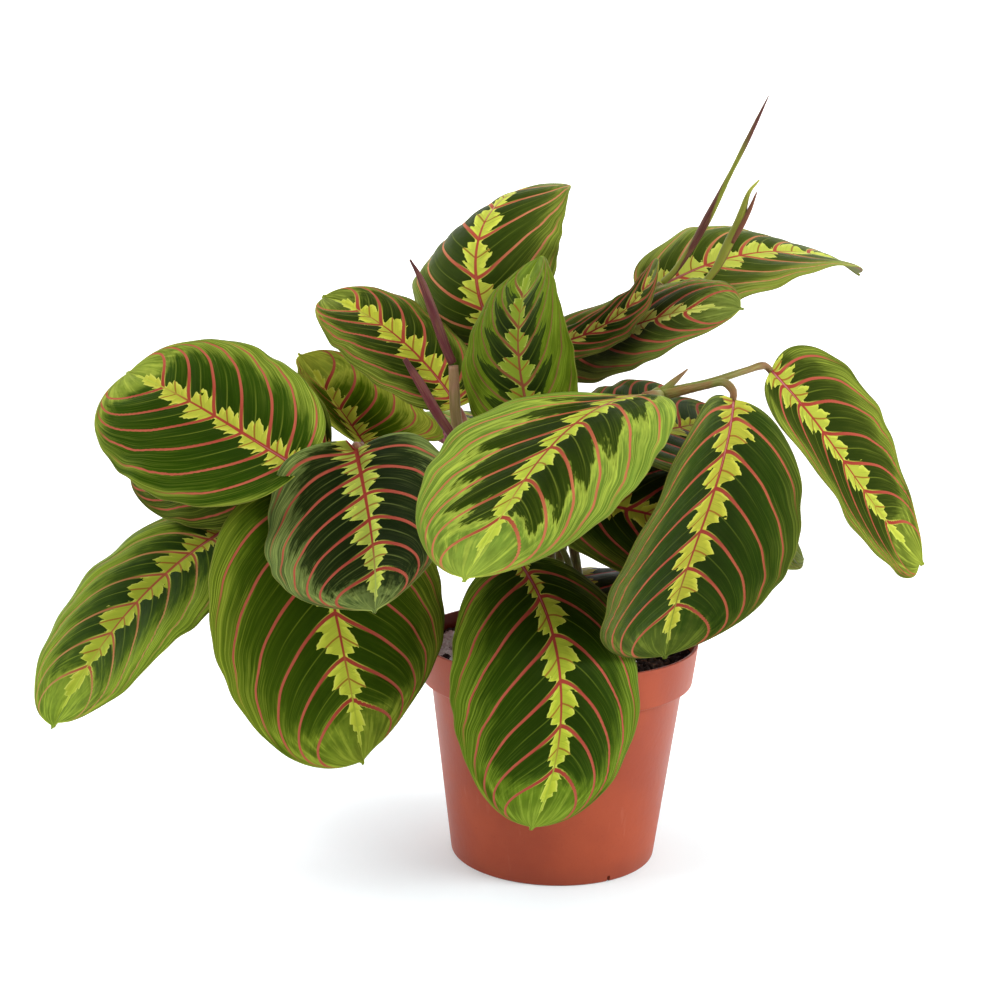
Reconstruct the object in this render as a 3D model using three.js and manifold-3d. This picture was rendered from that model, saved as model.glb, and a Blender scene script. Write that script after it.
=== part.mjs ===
import * as THREE from 'three';
import { mergeVertices } from 'three/addons/utils/BufferGeometryUtils.js';
import Module from 'manifold-3d';

const wasm = await Module();
wasm.setup();

// Driving dimensions in millimetres and degrees.
// The origin is the middle of the pot's flat base, +Z is up and -Y is the front.
const potHeight = 95;
const rimRadius = 60;
const bandHeight = 17.3;
const bandFootRadius = 57.9;
const bodyTopRadius = 54;
const baseRadius = 43.9;
const baseCorner = 1.2;
const wall = 1.4;
const floorThickness = 2.2;
const potSegments = 48;
const drainSlots = 3;
const firstDrainSlot = -57;
const drainSlotWidth = 1.4;
const drainSlotHeight = 3.2;

const soilDepthBelowRim = 6;
const soilTop = potHeight - soilDepthBelowRim;
const soilRise = 1.1;
const holeDepth = 34;
const fitGap = 0.3;

const perliteCentre = [-45, -3];
const perliteHalfWidth = 8;
const perliteHalfLength = 26;
const perliteHeight = 2.2;

const bladeThickness = 0.8;
const bladeRows = 12;
const bladeColumns = 2;
const bladeWidestAt = 0.46;
const bladeBaseRoundness = 2.25;
const bladeTipRoundness = 1.9;
const bladeHeel = 0.05;
const dripTipWidth = 0.1;
const spineSteps = 30;

const stemSides = 8;
const stemStep = 9;
const stalkEndRadius = 1.3;
const stalkRadii = [1.9, 1.5, stalkEndRadius];
const stalkGap = 0.5;

const darkGreen = 0x2f4a12;
const midGreen = 0x47721b;
const brightGreen = 0x6f9c2e;

const radians = THREE.MathUtils.degToRad;
const clamp = THREE.MathUtils.clamp;

// A blade starts at its base point, where it meets its stalk. Heading, pitch and roll turn it there:
// heading 0 points to +X, pitch lifts it, roll lifts its left edge. Left and right are its half widths.
// Arch bends it down over the base half and the tip half, sweep bends it sideways, twist turns it.
// Fold raises each half from the midrib and droop bends the half down again toward its margin.
const blades = {
  leaf_left_high: {
    base: [-100, -71, 178], heading: 150, pitch: 21, roll: -45, length: 102, left: 43, right: 36,
    arch: [-5, 30], sweep: 0, twist: 0, fold: [20, 5], droop: [25, 20], color: midGreen,
  },
  leaf_left_behind: {
    base: [-93, -38, 180], heading: 166, pitch: -3, roll: -63, length: 94, left: 36, right: 35,
    arch: [5, 15], sweep: 0, twist: 20, fold: [15, 15], droop: [30, 10], color: darkGreen,
  },
  leaf_left_low: {
    base: [-135, -35, 146], heading: -143, pitch: -23, roll: -14, length: 106, left: 38, right: 38,
    arch: [20, 10], sweep: 15, twist: 10, fold: [5, 15], droop: [15, 30], color: brightGreen,
  },
  leaf_left_hanging: {
    base: [-100, -56, 172], heading: -64, pitch: -54, roll: 13, length: 120, left: 46, right: 49,
    arch: [30, 20], sweep: 10, twist: -15, fold: [-5, 10], droop: [0, 25], color: darkGreen,
  },
  leaf_round_dark: {
    base: [-81, -52, 183], heading: -75, pitch: -28, roll: 26, length: 84, left: 36, right: 42,
    arch: [20, -25], sweep: -10, twist: 5, fold: [10, 20], droop: [0, 30], color: darkGreen,
  },
  leaf_left_back: {
    base: [-82, -25, 180], heading: 88, pitch: -14, roll: -32, length: 85, left: 31, right: 39,
    arch: [-50, -40], sweep: 20, twist: 10, fold: [60, -15], droop: [-15, 25], color: midGreen,
  },
  leaf_upper_left: {
    base: [-44, -12, 195], heading: 148, pitch: 49, roll: -10, length: 82, left: 29, right: 29,
    arch: [15, 25], sweep: 10, twist: 0, fold: [5, 15], droop: [25, 30], color: midGreen,
  },
  leaf_front_bright: {
    base: [30, -68, 210], heading: -140, pitch: 1, roll: 20, length: 118, left: 41, right: 48,
    arch: [50, -5], sweep: 0, twist: -5, fold: [-10, 10], droop: [40, -20], color: brightGreen,
  },
  leaf_right_front: {
    base: [64, -67, 209], heading: -103, pitch: -74, roll: -75, length: 115, left: 46, right: 49,
    arch: [40, -15], sweep: 35, twist: 25, fold: [10, -5], droop: [-25, -25], color: darkGreen,
  },
  leaf_far_right: {
    base: [83, -19, 214], heading: 9, pitch: -44, roll: 40, length: 113, left: 42, right: 41,
    arch: [20, -15], sweep: 5, twist: -10, fold: [5, 0], droop: [-10, -20], color: darkGreen,
  },
  leaf_right_inner: {
    base: [14, -46, 188], heading: 50, pitch: 0, roll: 24, length: 93, left: 31, right: 34,
    arch: [5, -5], sweep: 5, twist: 10, fold: [10, 10], droop: [50, 15], color: darkGreen,
  },
  leaf_right_behind: {
    base: [59, -14, 175], heading: 35, pitch: -38, roll: 46, length: 79, left: 19, right: 20,
    arch: [5, 0], sweep: 5, twist: 0, fold: [5, 5], droop: [15, 20], color: darkGreen,
  },
  leaf_centre_upright: {
    base: [-9, -35, 184], heading: 0, pitch: 112, roll: 68, length: 81, left: 28, right: 28,
    arch: [20, 40], sweep: -10, twist: -40, fold: [15, 5], droop: [10, 15], color: midGreen,
  },
  leaf_top: {
    base: [-26, 25, 217], heading: 50, pitch: 145, roll: 25, length: 112, left: 48, right: 36,
    arch: [105, 55], sweep: -20, twist: -30, fold: [0, -10], droop: [35, 30], color: darkGreen,
  },
  leaf_right_upper: {
    base: [-11, 12, 217], heading: -17, pitch: 6, roll: 52, length: 99, left: 27, right: 23,
    arch: [-55, 60], sweep: -5, twist: -15, fold: [5, 5], droop: [40, 15], color: midGreen,
  },
  leaf_right_folded: {
    base: [-12, -16, 221], heading: 23, pitch: 1, roll: 45, length: 70, left: 12, right: 14,
    arch: [-50, -45], sweep: 10, twist: -5, fold: [-5, 25], droop: [30, 20], color: darkGreen,
  },
  leaf_right_top: {
    base: [32, 41, 237], heading: -7, pitch: 33, roll: 48, length: 103, left: 37, right: 37,
    arch: [25, 40], sweep: 0, twist: -40, fold: [10, 5], droop: [35, 0], color: midGreen,
  },
  leaf_inner_back: {
    base: [7, 10, 179], heading: 41, pitch: 20, roll: 23, length: 71, left: 24, right: 26,
    arch: [10, 20], sweep: 5, twist: 15, fold: [10, 10], droop: [45, 10], color: darkGreen,
  },
  leaf_front_hanging: {
    base: [-17, -50, 140], heading: -48, pitch: -32, roll: -8, length: 117, left: 39, right: 45,
    arch: [50, 35], sweep: -5, twist: 10, fold: [10, -5], droop: [10, 35], color: darkGreen,
  },
  leaf_inner_low: {
    base: [-1, -17, 158], heading: -27, pitch: 4, roll: 49, length: 98, left: 35, right: 34,
    arch: [40, 70], sweep: 10, twist: 25, fold: [-5, 20], droop: [50, 0], color: darkGreen,
  },
  leaf_rear_low: {
    base: [8, 18, 98], heading: 88, pitch: 42, roll: 0, length: 100, left: 36, right: 36,
    arch: [55, 60], sweep: 0, twist: 0, fold: [0, 0], droop: [5, 5], color: darkGreen,
  },
  leaf_back_centre: {
    base: [12, 40, 176], heading: 72, pitch: 18, roll: 0, length: 102, left: 36, right: 37,
    arch: [25, 45], sweep: 5, twist: 0, fold: [10, 10], droop: [15, 15], color: midGreen,
  },
  leaf_back_tall: {
    base: [-16, 40, 170], heading: 108, pitch: 22, roll: 0, length: 106, left: 38, right: 37,
    arch: [30, 45], sweep: -5, twist: 0, fold: [10, 10], droop: [15, 15], color: midGreen,
  },
  leaf_back_left: {
    base: [-36, 24, 158], heading: 146, pitch: 12, roll: 8, length: 98, left: 35, right: 35,
    arch: [30, 40], sweep: -10, twist: 0, fold: [10, 10], droop: [15, 15], color: midGreen,
  },
  leaf_back_right: {
    base: [30, 26, 150], heading: 38, pitch: 8, roll: -6, length: 88, left: 32, right: 32,
    arch: [30, 45], sweep: 10, twist: 0, fold: [10, 10], droop: [15, 15], color: midGreen,
  },
  leaf_low_left: {
    base: [-42, 6, 126], heading: 162, pitch: 4, roll: 6, length: 90, left: 33, right: 33,
    arch: [30, 35], sweep: 0, twist: 0, fold: [10, 10], droop: [15, 15], color: darkGreen,
  },
  leaf_low_right: {
    base: [34, 10, 122], heading: 22, pitch: 6, roll: -6, length: 50, left: 24, right: 24,
    arch: [30, 35], sweep: 0, twist: 0, fold: [10, 10], droop: [15, 15], color: darkGreen,
  },
};

// A shoot stands in the soil at the first point of its stem. Each of its stalks leaves the stem
// inside it, passes the points given and ends at the base of the blade it is named for. Its branches
// are side shoots that end free.
const shoots = {
  shoot_right: {
    stem: [[2, -12], [-8, -22, 128], [-11, -32, 152], [-4, -46, 178], [14, -57, 194], [28, -54, 203],
      [37, -48, 208]],
    radii: [3, 2.7, 2.5, 2.5, 2.4, 2.5, 2.9],
    color: 0x6b7a35,
    stalks: {
      leaf_far_right: [[37, -48, 207], [44, -45, 210], [57, -38, 213], [71, -29, 216]],
      leaf_right_front: [[37, -48, 207], [47, -51, 210], [55, -57, 213], [61, -63, 215]],
      leaf_front_bright: [[37, -48, 207], [36, -58, 209]],
      leaf_right_inner: [[0, -49, 182], [7, -52, 187]],
    },
    branches: [{ path: [[37, -48, 208], [42, -46, 212], [48, -42, 217]], radii: [1.6, 1.3, 0.3] }],
  },
  shoot_upper_left: {
    stem: [[-12, -3], [-30, -14, 130], [-38, -22, 170], [-43, -26, 190], [-45, -26, 214]],
    radii: [3, 2.8, 2.8, 2.6, 2],
    color: 0x8a8f3a,
    stalks: {
      leaf_upper_left: [[-38, -22, 172], [-40, -16, 186]],
      leaf_low_left: [[-22, -10, 112], [-32, 1, 122]],
    },
  },
  shoot_right_back: {
    stem: [[12, 6], [4, 11, 140], [-3, 14, 165], [-7, 18, 184], [0, 22, 200], [12, 23, 212],
      [22, 22, 219], [33, 18, 236], [39.5, 17.6, 245]],
    radii: [2.8, 2.4, 2.2, 2.1, 2.1, 2, 1.7],
    color: 0x4a5a26,
    stalks: {
      leaf_right_top: [[20, 22, 216], [24, 32, 226]],
      leaf_inner_back: [[0, 13, 157], [2, 8, 172]],
      leaf_right_behind: [[2, 12, 148], [20, 13, 156], [38, 13, 163], [48, 12, 172], [52, 0, 178]],
    },
    branches: [{ path: [[21, 22, 218], [38, 21, 225], [50, 18, 237], [56, 17.5, 244]], radii: [1.6, 1.3] }],
  },
  shoot_left: {
    stem: [[-22, -14], [-28, -20, 120], [-42, -30, 152], [-62, -37, 162], [-78, -41, 169], [-90, -44, 173]],
    radii: [3, 2.8, 2.6, 2.4, 2.2, 2],
    color: 0x6b7a35,
    stalks: {
      leaf_left_high: [[-84, -42, 171], [-89, -46, 180], [-92, -55, 184], [-92, -66, 180], [-94, -72, 177]],
      leaf_left_behind: [[-75, -40, 168], [-86, -39, 176]],
      leaf_left_low: [[-75, -40, 168], [-86, -34, 162], [-104, -27, 158], [-120, -27, 153]],
      leaf_left_hanging: [[-88, -43, 172], [-98, -47, 178]],
      leaf_round_dark: [[-76, -40, 168], [-80, -43, 180]],
      leaf_left_back: [[-82, -42, 170], [-87, -40, 174], [-86, -33, 179]],
    },
  },
  shoot_centre: {
    stem: [[-2, 2], [-6, 4, 150], [-9, 8, 190], [-13, 10, 203]],
    radii: [3, 2.6, 2.4, 2],
    color: 0x5d6e30,
    stalks: {
      leaf_centre_upright: [[-6, 4, 150], [-5, -20, 170]],
      leaf_top: [[-10, 9, 194], [-20, 24, 206]],
      leaf_right_upper: [[-12, 10, 201], [-17, 13, 212]],
      leaf_right_folded: [[-11, 9, 197], [-18, -6, 214]],
    },
  },
  shoot_back: {
    stem: [[-6, 9], [-4, 12, 106], [2, 26, 140], [2, 30, 158]],
    radii: [3, 2.8, 2.6, 2.4],
    color: 0x5d6e30,
    stalks: {
      leaf_back_centre: [[2, 29, 154], [7, 32, 168]],
      leaf_back_tall: [[2, 28, 150], [-9, 33, 162]],
      leaf_back_left: [[1, 23, 132], [-22, 20, 152]],
      leaf_back_right: [[1, 23, 132], [20, 20, 146]],
    },
  },
};

// Stalks that rise from the soil on their own, each to the blade it is named for.
const soilStalks = {
  stalk_front_hanging: {
    stem: [[-8, -20], [-14, -36, 118], [-19, -46, 136]],
    radii: [1.8, 1.6, 1.4],
    color: 0x7a7d38,
    blade: 'leaf_front_hanging',
  },
  stalk_inner_low: {
    stem: [[10, -4], [4, -6, 128], [-7, -12, 152]],
    radii: [1.8, 1.6, 1.4],
    color: 0x5d6e30,
    blade: 'leaf_inner_low',
  },
  stalk_rear_low: {
    stem: [[8, 13]],
    radii: [1.8],
    color: 0x7a3a2c,
    blade: 'leaf_rear_low',
  },
  stalk_low_right: {
    stem: [[22, 2], [27, 6, 112]],
    radii: [1.8, 1.5],
    color: 0x5d6e30,
    blade: 'leaf_low_right',
  },
};

// Rolled young leaves and flower stalks, each of one or more tapering tubes.
const spikes = {
  spike_tall: {
    tubes: [{
      path: [[40, 17.5, 245.5], [45, 16.5, 251], [53, 16, 264], [65, 10, 290], [72, 6, 306], [79, 2, 323]],
      radii: [1.5, 1.9, 1.9, 1.6, 1, 0.6, 0.3],
    }],
    color: 0x5a3a3a,
  },
  spike_torn: {
    tubes: [
      {
        path: [[56.3, 17.5, 244.5], [62, 18, 252], [67, 18, 263], [71, 16, 273], [74, 14, 284],
          [78, 14, 289]],
        radii: [1.3, 1.7, 2.2, 2.1, 1.9, 1, 0.4],
      },
      { path: [[68, 17, 263], [72, 15, 271], [75, 14, 278], [77, 13, 284]], radii: [1.2, 1.3, 1, 0.3] },
    ],
    color: 0x6a5a34,
  },
  spike_purple: {
    tubes: [{
      path: [[-45.4, -26.1, 215.1], [-48, -27, 221], [-53, -26, 234], [-59, -25, 249], [-63, -25, 256]],
      radii: [1.9, 2.1, 2, 1.5, 0.4],
    }],
    color: 0x5e2c2e,
  },
  spike_purple_low: {
    tubes: [{
      path: [[-41.7, -28.1, 179], [-45, -33, 187], [-51, -34, 196], [-57, -33, 206], [-64, -32, 217]],
      radii: [1.5, 2, 2.1, 1.9, 1.1],
    }],
    color: 0x642f33,
  },
};

function material(color, roughness) {
  return new THREE.MeshStandardMaterial({ color, roughness, metalness: 0 });
}

function point(place) {
  return new THREE.Vector3(...place);
}

function closedGeometry(positions, triangles) {
  const geometry = new THREE.BufferGeometry();
  geometry.setAttribute('position', new THREE.Float32BufferAttribute(positions, 3));
  geometry.setIndex(triangles);
  return geometry;
}

function toSolid(geometry) {
  const bare = geometry.clone();
  bare.deleteAttribute('normal');
  bare.deleteAttribute('uv');
  const merged = mergeVertices(bare, 1e-4);
  const vertProperties = new Float32Array(merged.attributes.position.array);
  const triVerts = new Uint32Array(merged.index.array);
  return new wasm.Manifold(new wasm.Mesh({ numProp: 3, vertProperties, triVerts }));
}

function toGeometry(solid) {
  const mesh = solid.getMesh();
  return closedGeometry(Array.from(mesh.vertProperties), Array.from(mesh.triVerts));
}

function namedMesh(name, geometry, color, roughness) {
  const mesh = new THREE.Mesh(geometry, material(color, roughness));
  mesh.name = name;
  mesh.geometry.computeVertexNormals();
  return mesh;
}

// Blades

function halfWidthAt(s) {
  const toWidest = clamp(s / bladeWidestAt, 0, 1);
  const toTip = clamp((s - bladeWidestAt) / (1 - bladeWidestAt) / 0.97, 0, 1);
  const baseHalf = Math.pow(1 - (1 - toWidest) ** 2, 1 / bladeBaseRoundness);
  const tipHalf = Math.pow(1 - toTip ** 2, 1 / bladeTipRoundness);
  const dripTip = dripTipWidth * clamp((1 - s) / (1 - bladeWidestAt) / 0.07, 0, 1);
  const width = s < bladeWidestAt ? baseHalf : Math.max(tipHalf, dripTip);
  return Math.max(width, 0.02);
}

function bladeSpine(blade) {
  const heading = radians(blade.heading);
  const pitch = radians(blade.pitch);
  const level = Math.cos(pitch);
  const along = new THREE.Vector3(level * Math.cos(heading), level * Math.sin(heading), Math.sin(pitch));
  const across = new THREE.Vector3(-Math.sin(heading), Math.cos(heading), 0);
  const up = along.clone().cross(across);
  across.applyAxisAngle(along, radians(blade.roll));
  up.applyAxisAngle(along, radians(blade.roll));
  const centre = point(blade.base);
  const spine = [{ centre: centre.clone(), along: along.clone(), across: across.clone(), up: up.clone() }];
  for (let i = 0; i < spineSteps; i += 1) {
    const s = (i + 0.5) / spineSteps;
    const arch = 2 * THREE.MathUtils.lerp(blade.arch[0], blade.arch[1], s);
    const turn = new THREE.Vector3()
      .addScaledVector(across, radians(arch) / spineSteps)
      .addScaledVector(up, radians(blade.sweep) / spineSteps)
      .addScaledVector(along, radians(blade.twist) / spineSteps);
    const angle = turn.length();
    const before = along.clone();
    if (angle > 0) {
      turn.normalize();
      along.applyAxisAngle(turn, angle);
      across.applyAxisAngle(turn, angle);
      up.applyAxisAngle(turn, angle);
    }
    centre.addScaledVector(before.add(along), blade.length / spineSteps / 2);
    spine.push({ centre: centre.clone(), along: along.clone(), across: across.clone(), up: up.clone() });
  }
  return spine;
}

function spineFrame(spine, s) {
  const place = clamp(s, 0, 1) * spineSteps;
  const index = Math.min(Math.floor(place), spineSteps - 1);
  const share = place - index;
  const frame = {};
  for (const key of ['centre', 'along', 'across', 'up']) {
    frame[key] = spine[index][key].clone().lerp(spine[index + 1][key], share);
  }
  return frame;
}

function bladePoint(blade, frame, s, side, t) {
  const left = side > 0;
  const halfWidth = left ? blade.left : blade.right;
  const fold = radians(left ? blade.fold[0] : blade.fold[1]);
  const droop = radians(left ? blade.droop[0] : blade.droop[1]) || 1e-4;
  const width = halfWidthAt(s);
  const bent = fold - droop * width * t;
  const outward = (halfWidth / droop) * (Math.sin(fold) - Math.sin(bent));
  const lift = (halfWidth / droop) * (Math.cos(bent) - Math.cos(fold));
  const heel = bladeHeel * blade.length * width * t * clamp(1 - s / bladeWidestAt, 0, 1) ** 2;
  return frame.centre.clone()
    .addScaledVector(frame.across, side * outward)
    .addScaledVector(frame.up, lift)
    .addScaledVector(frame.along, -heel);
}

// A grid of points along the blade, from the left margin over the midrib to the right margin.
function bladeGrid(blade) {
  const spine = bladeSpine(blade);
  const grid = [];
  for (let row = 0; row <= bladeRows; row += 1) {
    const s = 0.5 - 0.5 * Math.cos((Math.PI * row) / bladeRows);
    const frame = spineFrame(spine, s);
    const line = [];
    for (let column = -bladeColumns; column <= bladeColumns; column += 1) {
      const side = column < 0 ? 1 : -1;
      line.push(bladePoint(blade, frame, s, side, Math.abs(column) / bladeColumns));
    }
    grid.push(line);
  }
  return grid;
}

function gridNormal(grid, row, column) {
  const last = grid.length - 1;
  const end = grid[0].length - 1;
  const lengthwise = grid[Math.min(row + 1, last)][column].clone()
    .sub(grid[Math.max(row - 1, 0)][column]);
  const crosswise = grid[row][Math.max(column - 1, 0)].clone()
    .sub(grid[row][Math.min(column + 1, end)]);
  return lengthwise.cross(crosswise).normalize();
}

// Upper and lower faces carry the same triangles, half the thickness to each side of the grid.
function sheet(grid, thickness) {
  const rows = grid.length;
  const columns = grid[0].length;
  const count = rows * columns;
  const upper = [];
  const lower = [];
  for (let row = 0; row < rows; row += 1) {
    for (let column = 0; column < columns; column += 1) {
      const offset = gridNormal(grid, row, column).multiplyScalar(thickness / 2);
      upper.push(...grid[row][column].clone().add(offset).toArray());
      lower.push(...grid[row][column].clone().sub(offset).toArray());
    }
  }
  const triangles = [];
  for (let row = 0; row + 1 < rows; row += 1) {
    for (let column = 0; column + 1 < columns; column += 1) {
      const a = row * columns + column;
      const b = a + columns;
      const leftHalf = column < (columns - 1) / 2;
      const pair = leftHalf
        ? [[a, b + 1, b], [a, a + 1, b + 1]]
        : [[a, a + 1, b], [a + 1, b + 1, b]];
      for (const [p, q, r] of pair) {
        triangles.push(p, q, r);
        triangles.push(p + count, r + count, q + count);
      }
    }
  }
  const edge = [];
  for (let row = 0; row < rows; row += 1) edge.push(row * columns);
  for (let column = 1; column < columns; column += 1) edge.push((rows - 1) * columns + column);
  for (let row = rows - 2; row >= 0; row -= 1) edge.push(row * columns + columns - 1);
  for (let column = columns - 2; column > 0; column -= 1) edge.push(column);
  for (let i = 0; i < edge.length; i += 1) {
    const p = edge[i];
    const q = edge[(i + 1) % edge.length];
    triangles.push(p, q, q + count);
    triangles.push(p, q + count, p + count);
  }
  return closedGeometry([...upper, ...lower], triangles);
}

// Stems, stalks and spikes

function radiusAt(radii, share) {
  const place = share * (radii.length - 1);
  const index = Math.min(Math.floor(place), radii.length - 2);
  return THREE.MathUtils.lerp(radii[index], radii[index + 1], place - index);
}

// A closed round tube along a curve, its radius changing along the length.
function taperedTube(points, radii, step = stemStep) {
  const curve = new THREE.CatmullRomCurve3(points, false, 'centripetal');
  const steps = Math.max(3, Math.round(curve.getLength() / step));
  const frames = curve.computeFrenetFrames(steps, false);
  const positions = [];
  for (let i = 0; i <= steps; i += 1) {
    const centre = curve.getPointAt(i / steps);
    const radius = radiusAt(radii, i / steps);
    for (let side = 0; side < stemSides; side += 1) {
      const angle = (2 * Math.PI * side) / stemSides;
      const place = centre.clone()
        .addScaledVector(frames.normals[i], radius * Math.cos(angle))
        .addScaledVector(frames.binormals[i], radius * Math.sin(angle));
      positions.push(...place.toArray());
    }
  }
  const triangles = [];
  for (let i = 0; i < steps; i += 1) {
    for (let side = 0; side < stemSides; side += 1) {
      const next = (side + 1) % stemSides;
      const a = i * stemSides + side;
      const b = i * stemSides + next;
      triangles.push(a, b, b + stemSides);
      triangles.push(a, b + stemSides, a + stemSides);
    }
  }
  for (let side = 1; side + 1 < stemSides; side += 1) {
    triangles.push(0, side + 1, side);
    const end = steps * stemSides;
    triangles.push(end, end + side, end + side + 1);
  }
  return closedGeometry(positions, triangles);
}

// The stalk comes in straight behind the blade and stops just short of its base.
function stalkEnd(blade) {
  const start = bladeSpine(blade)[0];
  const near = start.centre.clone().addScaledVector(start.along, -stalkGap);
  const back = start.centre.clone().addScaledVector(start.along, -3);
  return [back, near];
}

function stemPoints(stem) {
  const [x, y] = stem[0];
  const foot = soilTop - holeDepth + fitGap;
  const straight = [foot, soilTop - holeDepth / 2, soilTop - 4, soilTop + 3];
  return [...straight.map((z) => new THREE.Vector3(x, y, z)), ...stem.slice(1).map(point)];
}

function shootGeometry(shoot) {
  let solid = toSolid(taperedTube(stemPoints(shoot.stem), shoot.radii));
  for (const [name, path] of Object.entries(shoot.stalks)) {
    const stalk = [...path.map(point), ...stalkEnd(blades[name])];
    solid = solid.add(toSolid(taperedTube(stalk, stalkRadii)));
  }
  for (const branch of shoot.branches ?? []) {
    solid = solid.add(toSolid(taperedTube(branch.path.map(point), branch.radii)));
  }
  return toGeometry(solid);
}

function soilStalkGeometry(stalk) {
  const points = [...stemPoints(stalk.stem), ...stalkEnd(blades[stalk.blade])];
  return taperedTube(points, [...stalk.radii, stalkEndRadius]);
}

function spikeGeometry(spike) {
  const tubes = spike.tubes.map(({ path, radii }) => toSolid(taperedTube(path.map(point), radii, 7)));
  return toGeometry(tubes.reduce((whole, tube) => whole.add(tube)));
}

// Pot

function potGeometry() {
  const bandFoot = potHeight - bandHeight;
  const bandCorner = 1.3;
  const outline = [
    [0, 0],
    [baseRadius - baseCorner, 0],
    [baseRadius - 0.3 * baseCorner, 0.3 * baseCorner],
    [baseRadius + 0.2, baseCorner],
    [bodyTopRadius, bandFoot],
    [bandFootRadius - bandCorner, bandFoot],
    [bandFootRadius - 0.3, bandFoot + 0.4],
    [bandFootRadius + 0.1, bandFoot + bandCorner],
    [rimRadius, potHeight - 0.6],
    [rimRadius - 0.5, potHeight],
    [rimRadius - wall, potHeight],
    [bandFootRadius - wall, bandFoot + wall + 0.3],
    [bodyTopRadius - wall, bandFoot + 0.3],
    [baseRadius - wall, floorThickness],
    [0, floorThickness],
  ];
  const profile = outline.map(([radius, height]) => new THREE.Vector2(radius, height));
  const turned = new THREE.LatheGeometry(profile, potSegments);
  turned.rotateX(Math.PI / 2);
  let pot = toSolid(turned);
  for (let i = 0; i < drainSlots; i += 1) {
    const angle = radians(firstDrainSlot + (360 / drainSlots) * i);
    const slot = new THREE.BoxGeometry(6, drainSlotWidth, 2 * drainSlotHeight);
    slot.rotateZ(angle);
    slot.translate(baseRadius * Math.cos(angle), baseRadius * Math.sin(angle), 0);
    pot = pot.subtract(toSolid(slot));
  }
  return toGeometry(pot);
}

// Soil

function perliteReach(x, y) {
  const across = (x - perliteCentre[0]) / (perliteHalfWidth + 4);
  const lengthwise = (y - perliteCentre[1]) / (perliteHalfLength + 4);
  return Math.hypot(across, lengthwise);
}

function soilHeight(x, y) {
  const radius = Math.hypot(x, y) / rimRadius;
  const lumps = Math.sin(0.31 * x + 1.2) * Math.sin(0.27 * y + 0.4) + 0.6 * Math.sin(0.53 * (x + y));
  const level = clamp(3 * (perliteReach(x, y) - 1), 0, 1);
  const edge = clamp(6 * (0.97 - radius), 0, 1);
  return soilTop + (0.35 * soilRise * lumps) * level * edge;
}

function soilGeometry() {
  const bandFoot = potHeight - bandHeight;
  const share = (soilTop - bandFoot - wall) / (bandHeight - wall);
  const topRadius = THREE.MathUtils.lerp(bandFootRadius, rimRadius, share) - wall - fitGap - 0.2;
  const rings = [
    [0, floorThickness + fitGap],
    [baseRadius - wall - fitGap - 0.2, floorThickness + fitGap],
    [bodyTopRadius - wall - fitGap, bandFoot + 0.3 + fitGap],
    [bandFootRadius - wall - fitGap - 0.1, bandFoot + wall + 0.6 + fitGap],
    [topRadius, soilTop],
  ];
  const topRings = 6;
  for (let ring = topRings - 1; ring >= 0; ring -= 1) {
    rings.push([(topRadius * ring) / topRings, null]);
  }
  const positions = [];
  const triangles = [];
  const starts = [];
  for (const [radius, height] of rings) {
    starts.push(positions.length / 3);
    const count = radius === 0 ? 1 : potSegments;
    for (let i = 0; i < count; i += 1) {
      const angle = (2 * Math.PI * i) / potSegments;
      const x = radius * Math.sin(angle);
      const y = radius * Math.cos(angle);
      positions.push(x, y, height ?? soilHeight(x, y));
    }
  }
  for (let ring = 0; ring + 1 < rings.length; ring += 1) {
    for (let i = 0; i < potSegments; i += 1) {
      const next = (i + 1) % potSegments;
      const low = rings[ring][0] === 0;
      const high = rings[ring + 1][0] === 0;
      const a = starts[ring] + (low ? 0 : i);
      const b = starts[ring] + (low ? 0 : next);
      const c = starts[ring + 1] + (high ? 0 : next);
      const d = starts[ring + 1] + (high ? 0 : i);
      if (!low) triangles.push(a, c, b);
      if (!high) triangles.push(a, d, c);
    }
  }
  let soil = toSolid(closedGeometry(positions, triangles));
  for (const shoot of [...Object.values(shoots), ...Object.values(soilStalks)]) {
    const [x, y] = shoot.stem[0];
    const hole = new THREE.CylinderGeometry(1, 1, 2 * holeDepth, 12);
    const radius = shoot.radii[0] + 2 * fitGap;
    hole.scale(radius, 1, radius);
    hole.rotateX(Math.PI / 2);
    hole.translate(x, y, soilTop);
    soil = soil.subtract(toSolid(hole));
  }
  return toGeometry(soil);
}

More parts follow.
